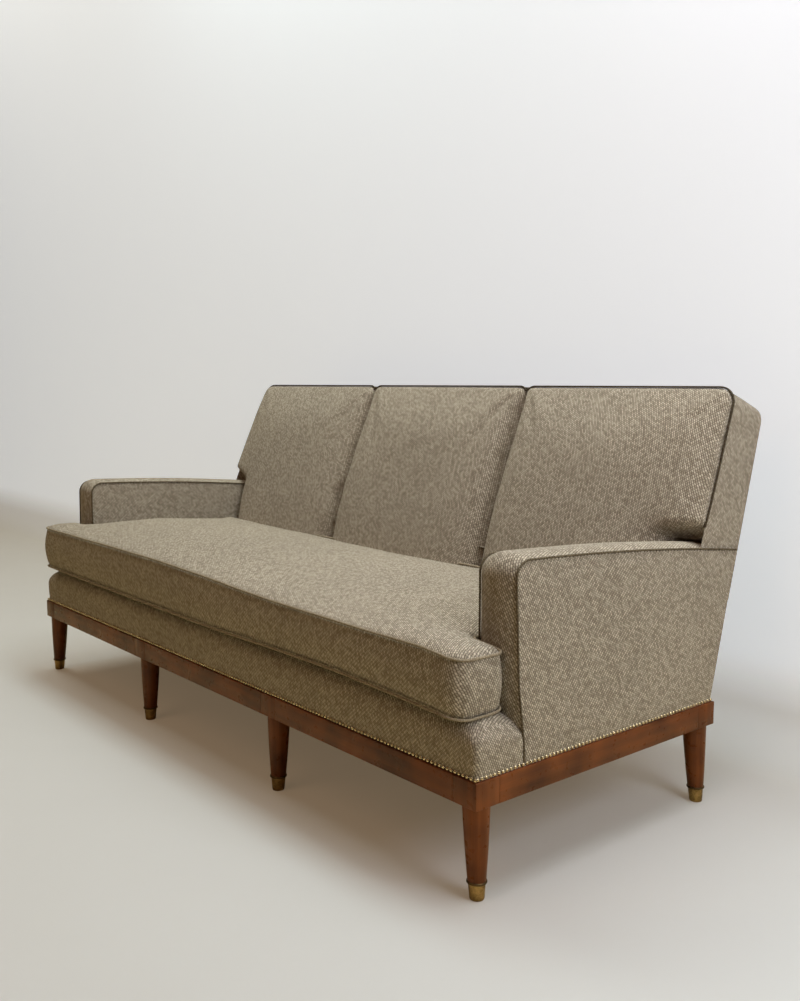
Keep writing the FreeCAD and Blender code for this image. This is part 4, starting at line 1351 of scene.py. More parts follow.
    def rail(self, node: str, axis: Grain) -> None:
        """Make one rail with eased edges in place of its CAD board.

        Args:
            node: The rail's CAD node.
            axis: The way that it runs.
        """
        low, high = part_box(node)
        run = 0 if axis is Grain.ALONG_X else 1
        low[run] += self.rail_end
        high[run] -= self.rail_end
        bm = bmesh.new()
        Bench.block(bm, (low + high) / 2, high - low)
        Bench.ease(bm, [e for e in bm.edges if abs((e.verts[0].co - e.verts[1].co)[run]) > 0.1], self.arris)
        piece = Bench.object_of(bm, node + "_polished")
        Bench.dress(piece, RAIL_WOOD[axis], Body.FRAME, Slot.POLISHED, [node], sharp=35)

    def build(self) -> None:
        """Make the whole plinth."""
        for row in ("front", "rear"):
            for x, name in zip(self.leg_xs(), self.names):
                self.leg(row, name, x)
            self.ferrules(row)
            for bay in ("left", "middle", "right"):
                self.rail(f"{row}_rail_{bay}", Grain.ALONG_X)
        for side in Side:
            self.rail(f"side_rail_{side.label}", Grain.ALONG_Y)


@dataclass
class HiddenFrame:
    """The carcase, webbing and screws, which keep their CAD meshes and get their finishes."""

    along_x: tuple = ("seat_rail_front", "seat_rail_rear", "back_rail_top", "back_rails_lower")
    along_y: tuple = ("cross_rail_", "seat_rail_left", "seat_rail_right", "seat_stretcher_", "arm_rail_")
    along_z: tuple = ("arm_post_", "back_post_")
    jute: tuple = ("seat_webbing", "back_webbing")

    def finish_for(self, node: str) -> Optional[Finish]:
        """The finish of a hidden node.

        Args:
            node: The node's name.

        Returns:
            Its finish, or nothing for a node that a piece stands for.
        """
        if node.startswith(self.along_x):
            return FRAME_TIMBER[Grain.ALONG_X]
        if node.startswith(self.along_y):
            return FRAME_TIMBER[Grain.ALONG_Y]
        if node.startswith(self.along_z):
            return FRAME_TIMBER[Grain.ALONG_Z]
        if node in self.jute:
            return JUTE
        if node == "plinth_screws":
            return SCREW_STEEL
        return None

    def build(self) -> None:
        """Dress every hidden node."""
        for name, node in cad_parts.items():
            finish = self.finish_for(name)
            if finish is None:
                continue
            node.data.materials.clear()
            node.data.materials.append(finish.material())
            LOG.info("%s keeps its CAD mesh", name)


@dataclass
class DustCover:
    """Thin black cloth stretched under the seat."""

    sag: float = 0.004
    cell: float = 0.04
    thickness: float = 0.0004
    drop: float = 0.0006

    def build(self) -> None:
        """Make the cover, a little slack between the rails."""
        low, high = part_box("dust_cover")
        width, depth = high.x - low.x, high.y - low.y
        bm = bmesh.new()
        bmesh.ops.create_grid(bm, x_segments=round(width / self.cell), y_segments=round(depth / self.cell),
                              size=0.5)
        for vert in bm.verts:
            u, v = vert.co.x, vert.co.y
            bay = math.cos(math.pi * v) * abs(math.sin(1.5 * math.pi * (u + 0.5)))
            vert.co = Vector((u * width, (low.y + high.y) / 2 + v * depth,
                              high.z - self.drop - self.sag * bay))
        bmesh.ops.solidify(bm, geom=bm.faces[:] + bm.verts[:] + bm.edges[:], thickness=self.thickness)
        piece = Bench.object_of(bm, "dust_cover_cloth")
        Bench.dress(piece, COVER_CLOTH, Body.FRAME, Slot.DUST_CLOTH, ["dust_cover"])


@dataclass
class Arm:
    """One arm: a crowned band over its front and top, and a padded panel on each side."""

    side: Side
    crown: float = 0.012
    panel_split: float = 0.968
    square: float = 2.4
    thickness: float = 0.02
    swell: float = 0.004
    roll: float = 0.05
    ripple: float = 0.0009
    seam: float = 0.003
    edge: float = 0.004
    cell: float = 0.012
    lean_from: float = 0.95
    cord_share: float = 0.75
    cord_rise: float = 0.0085
    line: ArmLine = field(default_factory=ArmLine)

    def lean(self, x: float, z: float) -> float:
        """Bring an x of an upright arm onto the leaning outer side.

        Args:
            x: The x before leaning.
            z: The height.

        Returns:
            The x after leaning.
        """
        width = PLAN.hem_half - PLAN.arm_inner
        share = (x - PLAN.arm_inner) / width
        return PLAN.arm_inner + share * (PLAN.side_line(z) - PLAN.arm_inner)

    def band(self) -> None:
        """Sweep the crowned band up the front, round the corner and along the top."""
        bm = bmesh.new()
        low = PLAN.plinth_top
        corner = self.line.corner
        centre, _, first, last = self.line.top
        steps = 20
        ring = []
        for i in range(steps + 1):
            share = 2 * i / steps - 1
            x = PLAN.arm_inner + (PLAN.hem_half - PLAN.arm_inner) * i / steps
            out = self.crown * (1 - abs(share) ** self.square)
            ring.append(bm.verts.new((x, PLAN.arm_front - out, low)))
        inside = [bm.verts.new((v.co.x, PLAN.arm_front + self.thickness, low)) for v in reversed(ring)]
        loop = ring + inside
        edges = [bm.edges.new((a, b)) for a, b in zip(loop, loop[1:] + loop[:1])]
        shin_steps = 16
        for _ in range(shin_steps):
            made = bmesh.ops.extrude_edge_only(bm, edges=edges)["geom"]
            verts = Bench.verts_of(made)
            edges = [e for e in Bench.edges_of(made) if e.verts[0] in verts and e.verts[1] in verts]
            bmesh.ops.translate(bm, verts=verts, vec=(0, 0, (corner.y - low) / shin_steps))
        for cent, angle, count in ((corner, first + math.pi / 2, 10), (centre, last - first, 34)):
            made = bmesh.ops.spin(bm, geom=edges, cent=(0, cent.x, cent.y), axis=(1, 0, 0), angle=-angle,
                                  steps=count)["geom_last"]
            edges = Bench.edges_of(made)
        bmesh.ops.holes_fill(bm, edges=[e for e in bm.edges if e.is_boundary], sides=0)
        for vert in bm.verts:
            ripple = self.ripple * noise.noise(vert.co * 9.0 + Vector((3.0, 1.0, 2.0)))
            vert.co.z += ripple if vert.co.z > corner.y else 0.0
            vert.co.y += ripple + self.line.foot(vert.co.y, vert.co.z) if vert.co.z <= corner.y else 0.0
            vert.co.x = self.side.value * self.lean(vert.co.x, vert.co.z)
        piece = Bench.object_of(bm, f"arm_band_{self.side.label}_cover")
        mesh = piece.data
        layer = mesh.uv_layers.new(name="weave")
        for corner_of_face in mesh.loops:
            co = mesh.vertices[corner_of_face.vertex_index].co
            layer.data[corner_of_face.index].uv = (co.x, self.line.length_at(co.y, co.z))
        Bench.upholster(piece, f"arm_band_{self.side.label}", 0.9, sharp=60)

    def panel(self, outer: bool) -> None:
        """Make the padded panel of the arm's inner or outer side.

        Args:
            outer: Whether it is the outer one.
        """
        outline = self.line.points(-self.seam, PLAN.plinth_top)
        outline.append(Vector((PLAN.rear_line(PLAN.plinth_top) - self.line.rear_tuck, PLAN.plinth_top)))
        face_x = PLAN.hem_half if outer else PLAN.arm_inner
        depth = self.panel_split - face_x
        bm = bmesh.new()
        face = bm.faces.new([bm.verts.new((face_x, y, z)) for y, z in outline])
        Bench.inset(bm, [face], self.edge)
        rim = [e for e in bm.edges if e.is_boundary]
        for share in (0.2, 1.0):
            made = bmesh.ops.extrude_edge_only(bm, edges=rim)["geom"]
            rim = [e for e in Bench.edges_of(made) if e.is_boundary]
            for vert in Bench.verts_of(made):
                vert.co.x = face_x + share * depth
        bmesh.ops.holes_fill(bm, edges=rim, sides=0)
        for axis in (1, 2):
            Bench.crosscut(bm, axis, self.cell)
        flat = np.array([(v.co.y, v.co.z) for v in bm.verts])
        inside = distance_to(np.array([tuple(p) for p in outline]), flat)
        way = 1.0 if outer else -1.0
        for vert, gap in zip(bm.verts, inside):
            if abs(vert.co.x - face_x) < 1e-6:
                rise = 1 - (1 - min(gap / self.roll, 1.0)) ** 2
                ripple = self.ripple * noise.noise(vert.co * 8.0 + Vector((0.0, 4.0, 8.0)))
                vert.co.x += way * (self.swell * rise + ripple * rise)
        for vert in bm.verts:
            vert.co.y += self.line.foot(vert.co.y, vert.co.z)
            leans = outer or vert.co.x > self.lean_from
            vert.co.x = self.side.value * (self.lean(vert.co.x, vert.co.z) if leans else vert.co.x)
        name = "outside_arm" if outer else "arm_core"
        piece = Bench.object_of(bm, f"{name}_{self.side.label}_cover")
        Bench.box_weave(piece)
        Bench.upholster(piece, f"{name}_{self.side.label}", 0.95, sharp=60)

    def welts(self) -> None:
        """Lay a cord along each seam of the band."""
        gap = (PLAN.cord_radius + PLAN.clearance) / math.sqrt(2)
        low = PLAN.plinth_top + self.cord_rise
        for outer in (False, True):
            path = []
            shin = [Vector((PLAN.arm_front - gap, low + (self.line.corner.y - low) * k / 20))
                    for k in range(20)]
            for y, z in shin + self.line.points(gap, self.line.corner.y, 12, 40)[1:]:
                if not outer and y > PLAN.front_line(z) - 0.001:
                    break
                y += self.line.foot(y, z)
                x = PLAN.side_line(z) + gap if outer else PLAN.arm_inner - gap
                path.append(Vector((self.side.value * x, y, z)))
            which = "outer" if outer else "inner"
            piece = Bench.cord(f"arm_welt_{which}_{self.side.label}", path,
                               self.cord_share * PLAN.cord_radius)
            stands = [f"arm_piping_{self.side.label}"] if outer else []
            Bench.dress(piece, ARM_CORD, Body.FRAME, Slot.PIPING, stands)

    def build(self) -> None:
        """Make the arm."""
        self.band()
        self.panel(outer=True)
        self.panel(outer=False)
        self.welts()


@dataclass
class Back:
    """The raked back: three crowned pads, the boxing behind them and the outside panel."""

    crown: float = 0.042
    corner: float = 0.042
    notch: float = 0.026
    shoulder: float = 0.030
    left_shoulder: float = 0.008
    left_fall: float = 0.020
    arm_line: float = 0.594
    welt_foot: float = 0.618
    names: tuple = ("left", "middle", "right")
    dimples: tuple = ((0.890, 0.132, 0.032, 0.034), (-0.900, 0.125, 0.006, 0.025))
    profile: tuple = ((-0.3, 0.10), (0.0, 0.45), (0.16, 0.80), (0.34, 1.0), (0.58, 1.0), (0.80, 0.88),
                      (0.91, 0.70), (0.97, 0.45), (1.0, 0.10))
    across_fall: float = 0.16
    roll: float = 0.068
    tight_roll: float = 0.020
    arm_reach: float = 0.045
    sink: float = 0.030
    groove: float = 0.038
    depth: float = 0.048
    voxel: float = 0.0075
    foot_z: float = 0.325
    foot_share: float = 0.98
    side_gap: float = 0.0002
    arm_gap: float = 0.0006
    foot_radius: float = 0.004
    seam_width: float = 0.010
    unevenness: float = 0.0012
    boxing_foot: float = 0.50
    boxing_bulge: float = 0.0022
    boxing_rim: float = 0.015
    layers: tuple = (0.0, 0.03, 0.10, 0.5, 0.90, 0.97, 1.0)
    side_from: float = 0.93
    top_from: float = 0.86
    outside_rim: float = 0.004
    outside_depth: float = 0.010
    outside_cell: float = 0.02
    cord_share: float = 0.85
    stuffing: Stuffing = Stuffing()

    @staticmethod
    def up_rake(z: float) -> float:
        """Length up the rake at height z."""
        return (z - PLAN.knee_z) / math.cos(PLAN.rake)

    def channel(self, i: int) -> float:
        """The x of a channel, counted from the left end."""
        return PLAN.side_line(PLAN.knee_z) * (2 * i / 3 - 1)

    def edge(self, i: int, right: bool, length: float) -> float:
        """The x of one side of a pad.

        Args:
            i: The pad, from the left.
            right: Which side.
            length: Length up the rake.

        Returns:
            The x.
        """
        if i == 0 and not right:
            return -PLAN.back_half(length)
        if i == 2 and right:
            return PLAN.back_half(length)
        return self.channel(i + 1) - self.side_gap if right else self.channel(i) + self.side_gap

    def corners(self, i: int) -> list[tuple[float, float, float]]:
        """The pad's outline in the back's own frame, with its radii."""
        top = PLAN.back_length
        foot = self.up_rake(self.foot_z) * self.foot_share
        arm = self.up_rake(self.arm_line)
        inner = PLAN.arm_inner - self.arm_gap
        left = [(self.edge(i, False, top), top, self.corner if i == 0 else self.notch)]
        right = [(self.edge(i, True, top), top, self.corner if i == 2 else self.notch)]
        if i == 0:
            arm -= self.left_fall / math.cos(PLAN.rake)
            left += [(self.edge(i, False, arm), arm, self.left_shoulder), (-inner, arm, 0.0),
                     (-inner, foot, self.foot_radius)]
        else:
            left += [(self.edge(i, False, foot), foot, self.foot_radius)]
        if i == 2:
            right += [(self.edge(i, True, arm), arm, self.shoulder), (inner, arm, 0.0),
                      (inner, foot, self.foot_radius)]
        else:
            right += [(self.edge(i, True, foot), foot, self.foot_radius)]
        return left + right[::-1]

    def pad(self, i: int) -> None:
        """Make one crowned pad.

        Args:
            i: The pad, from the left.
        """
        corners = self.corners(i)
        bm = bmesh.new()
        Bench.thicken(bm, rounded_face(bm, corners), -self.depth)
        piece = Bench.object_of(bm, f"back_pad_{self.names[i]}_cover")
        Bench.remesh(piece, self.voxel)
        points = Bench.points(piece)
        inside = distance_to(outline_of(corners), points[:, :2])
        front = np.clip((points[:, 2] + 0.009) / 0.006, 0, 1)
        points[:, 2] += front * np.maximum(self.rise(i, points, inside), -self.sink)
        matrix = np.array(PLAN.raked())
        Bench.place(piece, points @ matrix[:3, :3].T + matrix[:3, 3])
        self.stuffing.swell(piece, (inside < self.seam_width) | (front < 0.5))
        up, out, x = PLAN.up, PLAN.out, Vector((1, 0, 0))
        Bench.weave(piece, [(out, x, up), (x, -out, up), (-x, out, up), (up, x, -out), (-up, x, out)])
        Bench.upholster(piece, f"back_pad_{self.names[i]}", 0.85)

    def rise(self, i: int, points: np.ndarray, inside: np.ndarray) -> np.ndarray:
        """How far a pad's front stands out of the back's front plane.

        Args:
            i: The pad, from the left.
            points: Its points in the back's own frame.
            inside: Their distances from the pad's outline.

        Returns:
            One height for each point.
        """
        top = PLAN.back_length
        lengths = points[:, 1]
        above = np.clip((lengths - self.up_rake(self.arm_line) + 0.010) / self.arm_reach, 0, 1)
        above = above * above * (3 - 2 * above)
        beside = PLAN.arm_inner - self.arm_gap
        lefts, rights = (np.array([self.edge(i, right, s) for s in lengths]) for right in (False, True))
        reaches = [self.roll, self.roll]
        if i == 0:
            lefts = -beside + (lefts + beside) * above
            reaches[0] = self.tight_roll + self.arm_reach * above
        if i == 2:
            rights = beside + (rights - beside) * above
            reaches[1] = self.tight_roll + self.arm_reach * above
        from_left, from_right = np.maximum(points[:, 0] - lefts, 0), np.maximum(rights - points[:, 0], 0)
        left_roll, right_roll = rise_of(from_left, reaches[0], 2.0), rise_of(from_right, reaches[1], 2.0)
        across = np.clip((2 * points[:, 0] - lefts - rights) / (rights - lefts), -1, 1)
        shape = np.minimum(left_roll, right_roll) * (1 - self.across_fall * across ** 2)
        share = np.clip(lengths / top, -0.3, 1)
        sunk = np.ones(len(points))
        if i == 0:
            sunk = np.where(points[:, 0] < 0, 1 - above, 1.0)
        if i == 2:
            sunk = np.where(points[:, 0] > 0.5 * (lefts + rights), 1 - above, 1.0)
        lift = self.crown * np.interp(share, *zip(*self.profile)) * shape
        lift *= rise_of(inside, 0.010, 2.0)
        groove = np.clip(1 - np.minimum(from_left, from_right) / self.groove, 0, 1) ** 2
        lift -= self.sink * sunk * np.clip((top - lengths) / 0.09, 0, 1) * groove
        for x, length, deep, reach in self.dimples:
            away = np.hypot(points[:, 0] - x, lengths - length)
            lift -= deep * np.exp(-(away / reach) ** 2)
        lift += self.unevenness * waves(points, 0.11, 4.0 + i) * rise_of(inside, 0.05, 2.0)
        return lift

    def boxing(self) -> None:
        """Make the top and side boxing behind the pads as one padded body."""
        top = PLAN.back_length
        low = self.up_rake(self.boxing_foot)
        corners = [(-PLAN.back_half(top), top, self.corner), (-PLAN.back_half(low), low, 0.0),
                   (PLAN.back_half(low), low, 0.0), (PLAN.back_half(top), top, self.corner)]
        bm = bmesh.new()
        faces = [rounded_face(bm, corners, segments=10)]
        into = -PLAN.out
        bmesh.ops.transform(bm, matrix=PLAN.raked(), verts=bm.verts)
        for a, b in zip(self.layers, self.layers[1:]):
            grown = bmesh.ops.extrude_face_region(bm, geom=faces)["geom"]
            verts = Bench.verts_of(grown)
            for vert in verts:
                ahead = PLAN.rear_line(vert.co.z) - vert.co.y
                whole = ahead / (into.y - PLAN.rear_slope * into.z) / (1 - a)
                vert.co += into * whole * (b - a)
            if a:
                bmesh.ops.delete(bm, geom=faces, context="FACES_ONLY")
            faces = [g for g in grown if isinstance(g, bmesh.types.BMFace)]
            bulge = self.boxing_bulge * math.sin(math.pi * b)
            for vert in verts:
                vert.co += Vector((math.copysign(bulge, vert.co.x) if abs(vert.co.x) > self.side_from else 0,
                                   0, bulge if vert.co.z > self.top_from else 0))
        front = min((f for f in bm.faces if len(f.verts) > 8), key=lambda f: f.calc_center_median().y)
        Bench.inset(bm, [front], self.boxing_rim)
        bmesh.ops.translate(bm, verts=front.verts[:], vec=into * self.depth)
        piece = Bench.object_of(bm, "back_boxing")
        Bench.box_weave(piece)
        Bench.upholster(piece, "back_core", 0.95, sharp=50)

    def outside(self) -> None:
        """Make the outside back panel, from the plinth to the top."""
        bm = bmesh.new()
        half_top = PLAN.back_half(PLAN.back_length) + 0.001
        corners = [(-PLAN.hem_half, PLAN.plinth_top, 0), (PLAN.hem_half, PLAN.plinth_top, 0),
                   (half_top, PLAN.rear_z, 0.044), (-half_top, PLAN.rear_z, 0.044)]
        face = rounded_face(bm, corners, segments=8)
        Bench.inset(bm, [face], self.outside_rim)
        grown = bmesh.ops.extrude_edge_only(bm, edges=[e for e in bm.edges if e.is_boundary])["geom"]
        rim = [e for e in Bench.edges_of(grown) if e.is_boundary]
        for vert in Bench.verts_of(grown):
            vert.co.z = -self.outside_depth
        bmesh.ops.holes_fill(bm, edges=rim, sides=0)
        for axis in (0, 1):
            Bench.crosscut(bm, axis, self.outside_cell)
        inside = distance_to(outline_of(corners), np.array([(v.co.x, v.co.y) for v in bm.verts]))
        for vert, gap in zip(bm.verts, inside):
            x, z, depth = vert.co
            if depth > -0.001:
                rise = 1 - (1 - min(gap / 0.06, 1.0)) ** 2
                depth += rise * (0.004 + 0.001 * noise.noise(Vector((x, z, 0)) * 6.0))
            vert.co = Vector((x, PLAN.rear_line(z) + depth - 0.0030, z))
        piece = Bench.object_of(bm, "outside_back_cover")
        Bench.box_weave(piece)
        Bench.upholster(piece, "outside_back", 0.95, sharp=60)

    def welts(self) -> None:
        """Lay a cord over the top of each pad, the outer ones down to the arms."""
        stand = PLAN.cord_radius + PLAN.clearance
        matrix = PLAN.raked()
        foot = self.up_rake(self.welt_foot)
        for i in range(3):
            path = []
            for right in (False, True):
                sign = 1 if right else -1
                outermost = (i == 2) if right else (i == 0)
                radius = self.corner if outermost else self.notch
                level = PLAN.back_length - radius
                x = self.edge(i, right, level) - sign * radius
                last = math.pi / 2 if outermost else math.asin((radius - stand) / (radius + stand))
                arc = [(x + sign * (radius + stand) * math.sin(last * k / 10),
                        level + (radius + stand) * math.cos(last * k / 10)) for k in range(11)]
                if outermost:
                    for k in range(1, 13):
                        length = level + (foot - level) * k / 12
                        out = sign * stand * (1 - (k / 12) ** 6)
                        arc.append((self.edge(i, right, length) + out, length))
                path += arc if right else arc[::-1]
            path = [matrix @ Vector((x, length, 0.0)) for x, length in path]
            piece = Bench.cord(f"back_welt_{self.names[i]}", path, self.cord_share * PLAN.cord_radius)
            Bench.dress(piece, DARK_CORD, Body.FRAME, Slot.PIPING, ["back_piping"] if i == 1 else [])

    def build(self) -> None:
        """Make the back."""
        for i in range(3):
            self.pad(i)
        self.boxing()
        self.outside()
        self.welts()


@dataclass
class SeatBase:
    """The padded front border, the deck under the cushion and the nails along the hem."""

    border_round: float = 0.048
    end_round: float = 0.014
    bulge: float = 0.003
    fall: float = 0.020
    fullness: float = 0.0030
    ripple: float = 0.0012
    end_fall: float = 0.010
    end_x: float = 0.86
    lap: float = 0.014
    deck_fall: float = 0.004
    deck_steps: tuple = ((0.006, 0.0018), (0.012, 0.0012), (0.03, 0.0008))
    nail_pitch: float = 0.0105
    nail_radius: float = 0.0037
    nail_rise: float = 0.0046
    nail_front: float = 0.0022
    nail_side: float = 0.0012
    nail_start: float = 0.005
    nail_stop: float = 0.004
    nail_dome: float = 0.65
    nail_jog: float = 0.00025

    def border(self) -> None:
        """Make the front border as a rolled, slightly bulging form."""
        roll, top = self.border_round, PLAN.deck_top - 0.002
        levels = [(PLAN.plinth_top + (top - roll - PLAN.plinth_top) * k / 6, 0.0) for k in range(7)]
        levels += [(top - roll + roll * math.sin(turn), roll * (1 - math.cos(turn)))
                   for turn in (math.pi / 2 * k / 12 for k in range(1, 13))]
        bm = bmesh.new()
        rings = []
        for z, inset in levels:
            half, front, rear = PLAN.hem_half - inset, PLAN.hem_front + inset, PLAN.arm_front + self.lap
            radius = self.end_round + 0.5 * inset
            corners = [(-half, front, radius), (half, front, radius), (half, rear, 0.006),
                       (-half, rear, 0.006)]
            verts = [bm.verts.new((x, y, z)) for x, y in outline_of(corners)]
            rings.append([bm.edges.new(pair) for pair in zip(verts, verts[1:] + verts[:1])])
        for first, second in zip(rings, rings[1:]):
            bmesh.ops.bridge_loops(bm, edges=first + second)
        bmesh.ops.holes_fill(bm, edges=rings[0] + rings[-1], sides=0)
        Bench.crosscut(bm, 0, 0.0155)
        Bench.crosscut(bm, 1, 0.012)
        for vert in bm.verts:
            x, y, z = vert.co
            up = (z - PLAN.plinth_top) / (top - PLAN.plinth_top)
            full = math.sin(math.pi * min(1.0, up * 0.85 + 0.05))
            ripple = self.ripple * noise.noise(vert.co * 7.0 + Vector((5.0, 0.0, 1.0)))
            end = max(0.0, (abs(x) - self.end_x) / 0.134)
            ahead = fade(-y, -PLAN.arm_front, 0.03)
            behind = max(0.0, (y + 0.415) / 0.077) * fade(abs(x), self.end_x, 0.03)
            vert.co.z -= (self.end_fall * end ** 1.6 + self.fall * behind ** 2) * up
            vert.co.y -= (self.fullness * full + ripple) * ahead
            vert.co.x += math.copysign((self.bulge * full) * min(1.0, ahead * 1.5) * end ** 2, x)
        piece = Bench.object_of(bm, "front_border_cover")
        Bench.box_weave(piece)
        Bench.upholster(piece, "front_border", 0.9, sharp=60)

    def deck(self) -> None:
        """Make the padded deck that the loose cushion rests on."""
        low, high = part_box("deck_pad")
        bm = bmesh.new()
        Bench.block(bm, (low + high) / 2, high - low)
        top = [f for f in bm.faces if f.normal.z > 0.9]
        for vert in top[0].verts:
            vert.co.z -= self.deck_fall
        for inset, out in self.deck_steps:
            Bench.inset(bm, top, inset)
            for vert in {v for f in top for v in f.verts}:
                vert.co.z += out
        piece = Bench.object_of(bm, "deck_pad_cover")
        Bench.box_weave(piece)
        Bench.upholster(piece, "deck_pad", 0.9, sharp=60)

    def nails(self) -> None:
        """Drive the close row of domed nails along the hem."""
        z = PLAN.plinth_top + self.nail_rise
        half, front, rear = PLAN.hem_half, PLAN.hem_front - self.nail_front, PLAN.rear_line(z)
        stop = self.nail_stop
        runs = {"front": (Vector((-half, front, z)), Vector((half, front, z)), Vector((0, -1, 0))),
                "rear": (Vector((-half + stop, rear, z)), Vector((half - stop, rear, z)), Vector((0, 1, 0)))}
        for side in Side:
            x = side.value * (half + self.nail_side)
            runs[side.label] = (Vector((x, front + self.nail_start, z)), Vector((x, rear - stop, z)),
                                Vector((side.value, 0, 0)))
        for name, (start, end, out) in runs.items():
            bm = bmesh.new()
            count = round((end - start).length / self.nail_pitch)
            for k in range(count + 1):
                place = start.lerp(end, k / count)
                jog = Vector([self.nail_jog * noise.noise(place * 333.0 + Vector((s, s, s)))
                              for s in (1, 5, 9)])
                turn = out.to_track_quat("Z", "Y").to_matrix().to_4x4()
                size = Matrix.Diagonal((self.nail_radius, self.nail_radius,
                                        self.nail_radius * self.nail_dome, 1))
                dome = bmesh.ops.create_uvsphere(bm, u_segments=10, v_segments=8, radius=1.0,
                                                 matrix=Matrix.Translation(place + jog) @ turn @ size)
                behind = [v for v in dome["verts"] if (v.co - place - jog).dot(out) < -0.0002]
                bmesh.ops.delete(bm, geom=behind, context="VERTS")
            piece = Bench.object_of(bm, f"hem_nails_{name}", weld=1e-6)
            stands = ["nailhead_trim"] if name == "front" else []
            Bench.dress(piece, NAIL_BRASS, Body.FRAME, Slot.BRASS, stands)

    def build(self) -> None:
        """Make the seat's base."""
        self.border()
        self.deck()
        self.nails()


@dataclass
class SeatCushion:
    """The loose T-shaped cushion with its crown, its boxing and its two cords."""

    front: float = -0.4784
    ear_x: float = 0.965
    ear_back: float = -0.3661
    side_x: float = 0.8762
    rear: float = 0.1657
    seam: float = 0.346
    wall: float = 0.107
    crown: float = 0.019
    puff: float = 0.006
    lilt: float = 0.020
    rear_dip: float = 0.010
    upper_seam: tuple = ((-1.0, 1.0), (-0.41, 1.0), (-0.17, 0.93), (0.05, 0.69), (0.25, 0.30), (0.38, 0.16),
                         (0.58, 0.02), (0.82, 0.0), (0.90, 0.03), (0.96, -0.22), (1.0, -0.48))
    lower_seam: tuple = ((-1.0, 0.30), (-0.6, 0.10), (0.12, -0.08), (0.40, 0.16), (0.62, 0.18),
                         (0.80, -0.05), (0.90, -0.26), (0.97, -0.42), (1.0, -0.60))
    belly: float = 0.003
    unevenness: float = 0.0022
    wander: float = 0.0010
    seam_width: float = 0.007
    cord_out: float = 0.7
    cord_step: float = 0.02
    voxel: float = 0.008
    stuffing: Stuffing = Stuffing(cap=0.016)

    def corners(self, grow: float = 0.0) -> list[tuple[float, float, float]]:
        """The T-shaped plan, moved out by grow, with its radii."""
        right = [(self.ear_x + grow, self.front - grow, 0.035 + grow),
                 (self.ear_x + grow, self.ear_back + grow, 0.018 + grow),
                 (self.side_x + grow, self.ear_back + grow, 0.016 - grow),
                 (self.side_x + grow, self.rear + grow, 0.025 + grow)]
        return right + [(-x, y, radius) for x, y, radius in reversed(right)]

    def settle(self, points: np.ndarray, upper: bool) -> np.ndarray:
        """How far a seam rises or drops at each point, as the stuffing has settled.

        Args:
            points: Points, as rows of three numbers.
            upper: Whether it is the upper seam.

        Returns:
            Heights to add.
        """
        x, y = points[:, 0], points[:, 1]
        flat = np.stack((x, y, np.zeros(len(x))), axis=1)
        wander = self.wander * waves(flat, 0.14, 7.0)
        if upper:
            seam, ahead = self.upper_seam, np.clip((0.05 - y) / 0.20, 0, 1)
        else:
            seam, ahead = self.lower_seam, np.clip((-0.34 - y) / 0.05, 0, 1)
            wander = wander * 0.5
        return self.lilt * np.interp(x / self.ear_x, *zip(*seam)) * ahead + wander

    def cover(self) -> None:
        """Make the stuffed cover."""
        bm = bmesh.new()
        Bench.thicken(bm, rounded_face(bm, self.corners(), segments=8), self.wall)
        piece = Bench.object_of(bm, "seat_cushion_cover")
        Bench.remesh(piece, self.voxel)
        points = Bench.points(piece)
        outline = outline_of(self.corners())
        inside = distance_to(outline, points[:, :2])
        up = points[:, 2] / self.wall
        shoulder = rise_of(inside, 0.06, 2.0)
        crown = self.crown * (0.45 * shoulder + 0.55 * rise_of(inside, 0.28, 1.8))
        top = np.clip((up - 0.5) * 2, 0, 1) ** 8
        bottom = np.clip((0.5 - up) * 2, 0, 1) ** 8
        share = np.clip(up, 0, 1)
        bulge = self.puff * np.sin(np.pi * share) * np.clip(1 - inside / 0.02, 0, 1)
        bulge *= 1 + 1.4 * np.clip((-0.93 - points[:, 0]) / 0.03, 0, 1)
        points[:, :2] += self.outward(outline, points[:, :2]) * bulge[:, None]
        high, low = self.settle(points, True), self.settle(points, False)
        points[:, 2] += top * crown - bottom * self.belly * shoulder
        points[:, 2] += self.seam + low + (high - low) * share
        dip = np.exp(-((points[:, 0] - 0.05) / 0.45) ** 2) * np.clip((points[:, 1] + 0.10) / 0.25, 0, 1)
        points[:, 2] -= self.rear_dip * dip * top
        points[:, 2] += self.unevenness * waves(points, 0.20, 11.0) * top * shoulder
        Bench.place(piece, points)
        seams = (inside < self.seam_width) & ((up < 0.07) | (up > 0.93))
        self.stuffing.swell(piece, seams | (bottom > 0.5))
        Bench.box_weave(piece)
        Bench.upholster(piece, "seat_cushion", 0.8, body=Body.SEAT)

    @staticmethod
    def outward(outline: np.ndarray, points: np.ndarray) -> np.ndarray:
        """Directions from points to outside the outline, through its nearest place.

        Args:
            outline: The outline's points.
            points: Points inside it.

        Returns:
            One flat direction for each point.
        """
        best = np.full(len(points), np.inf)
        way = np.zeros_like(points)
        for run, gap in runs_of(outline, points):
            closer = gap < best
            best[closer] = gap[closer]
            way[closer] = np.array((run[1], -run[0])) / math.sqrt(float(run @ run))
        middle = np.array((0.0, (outline[:, 1].min() + outline[:, 1].max()) / 2))
        if ((outline[0] - middle) @ way[np.argmin(np.hypot(*(points - outline[0]).T))]) < 0:
            way = -way
        return way

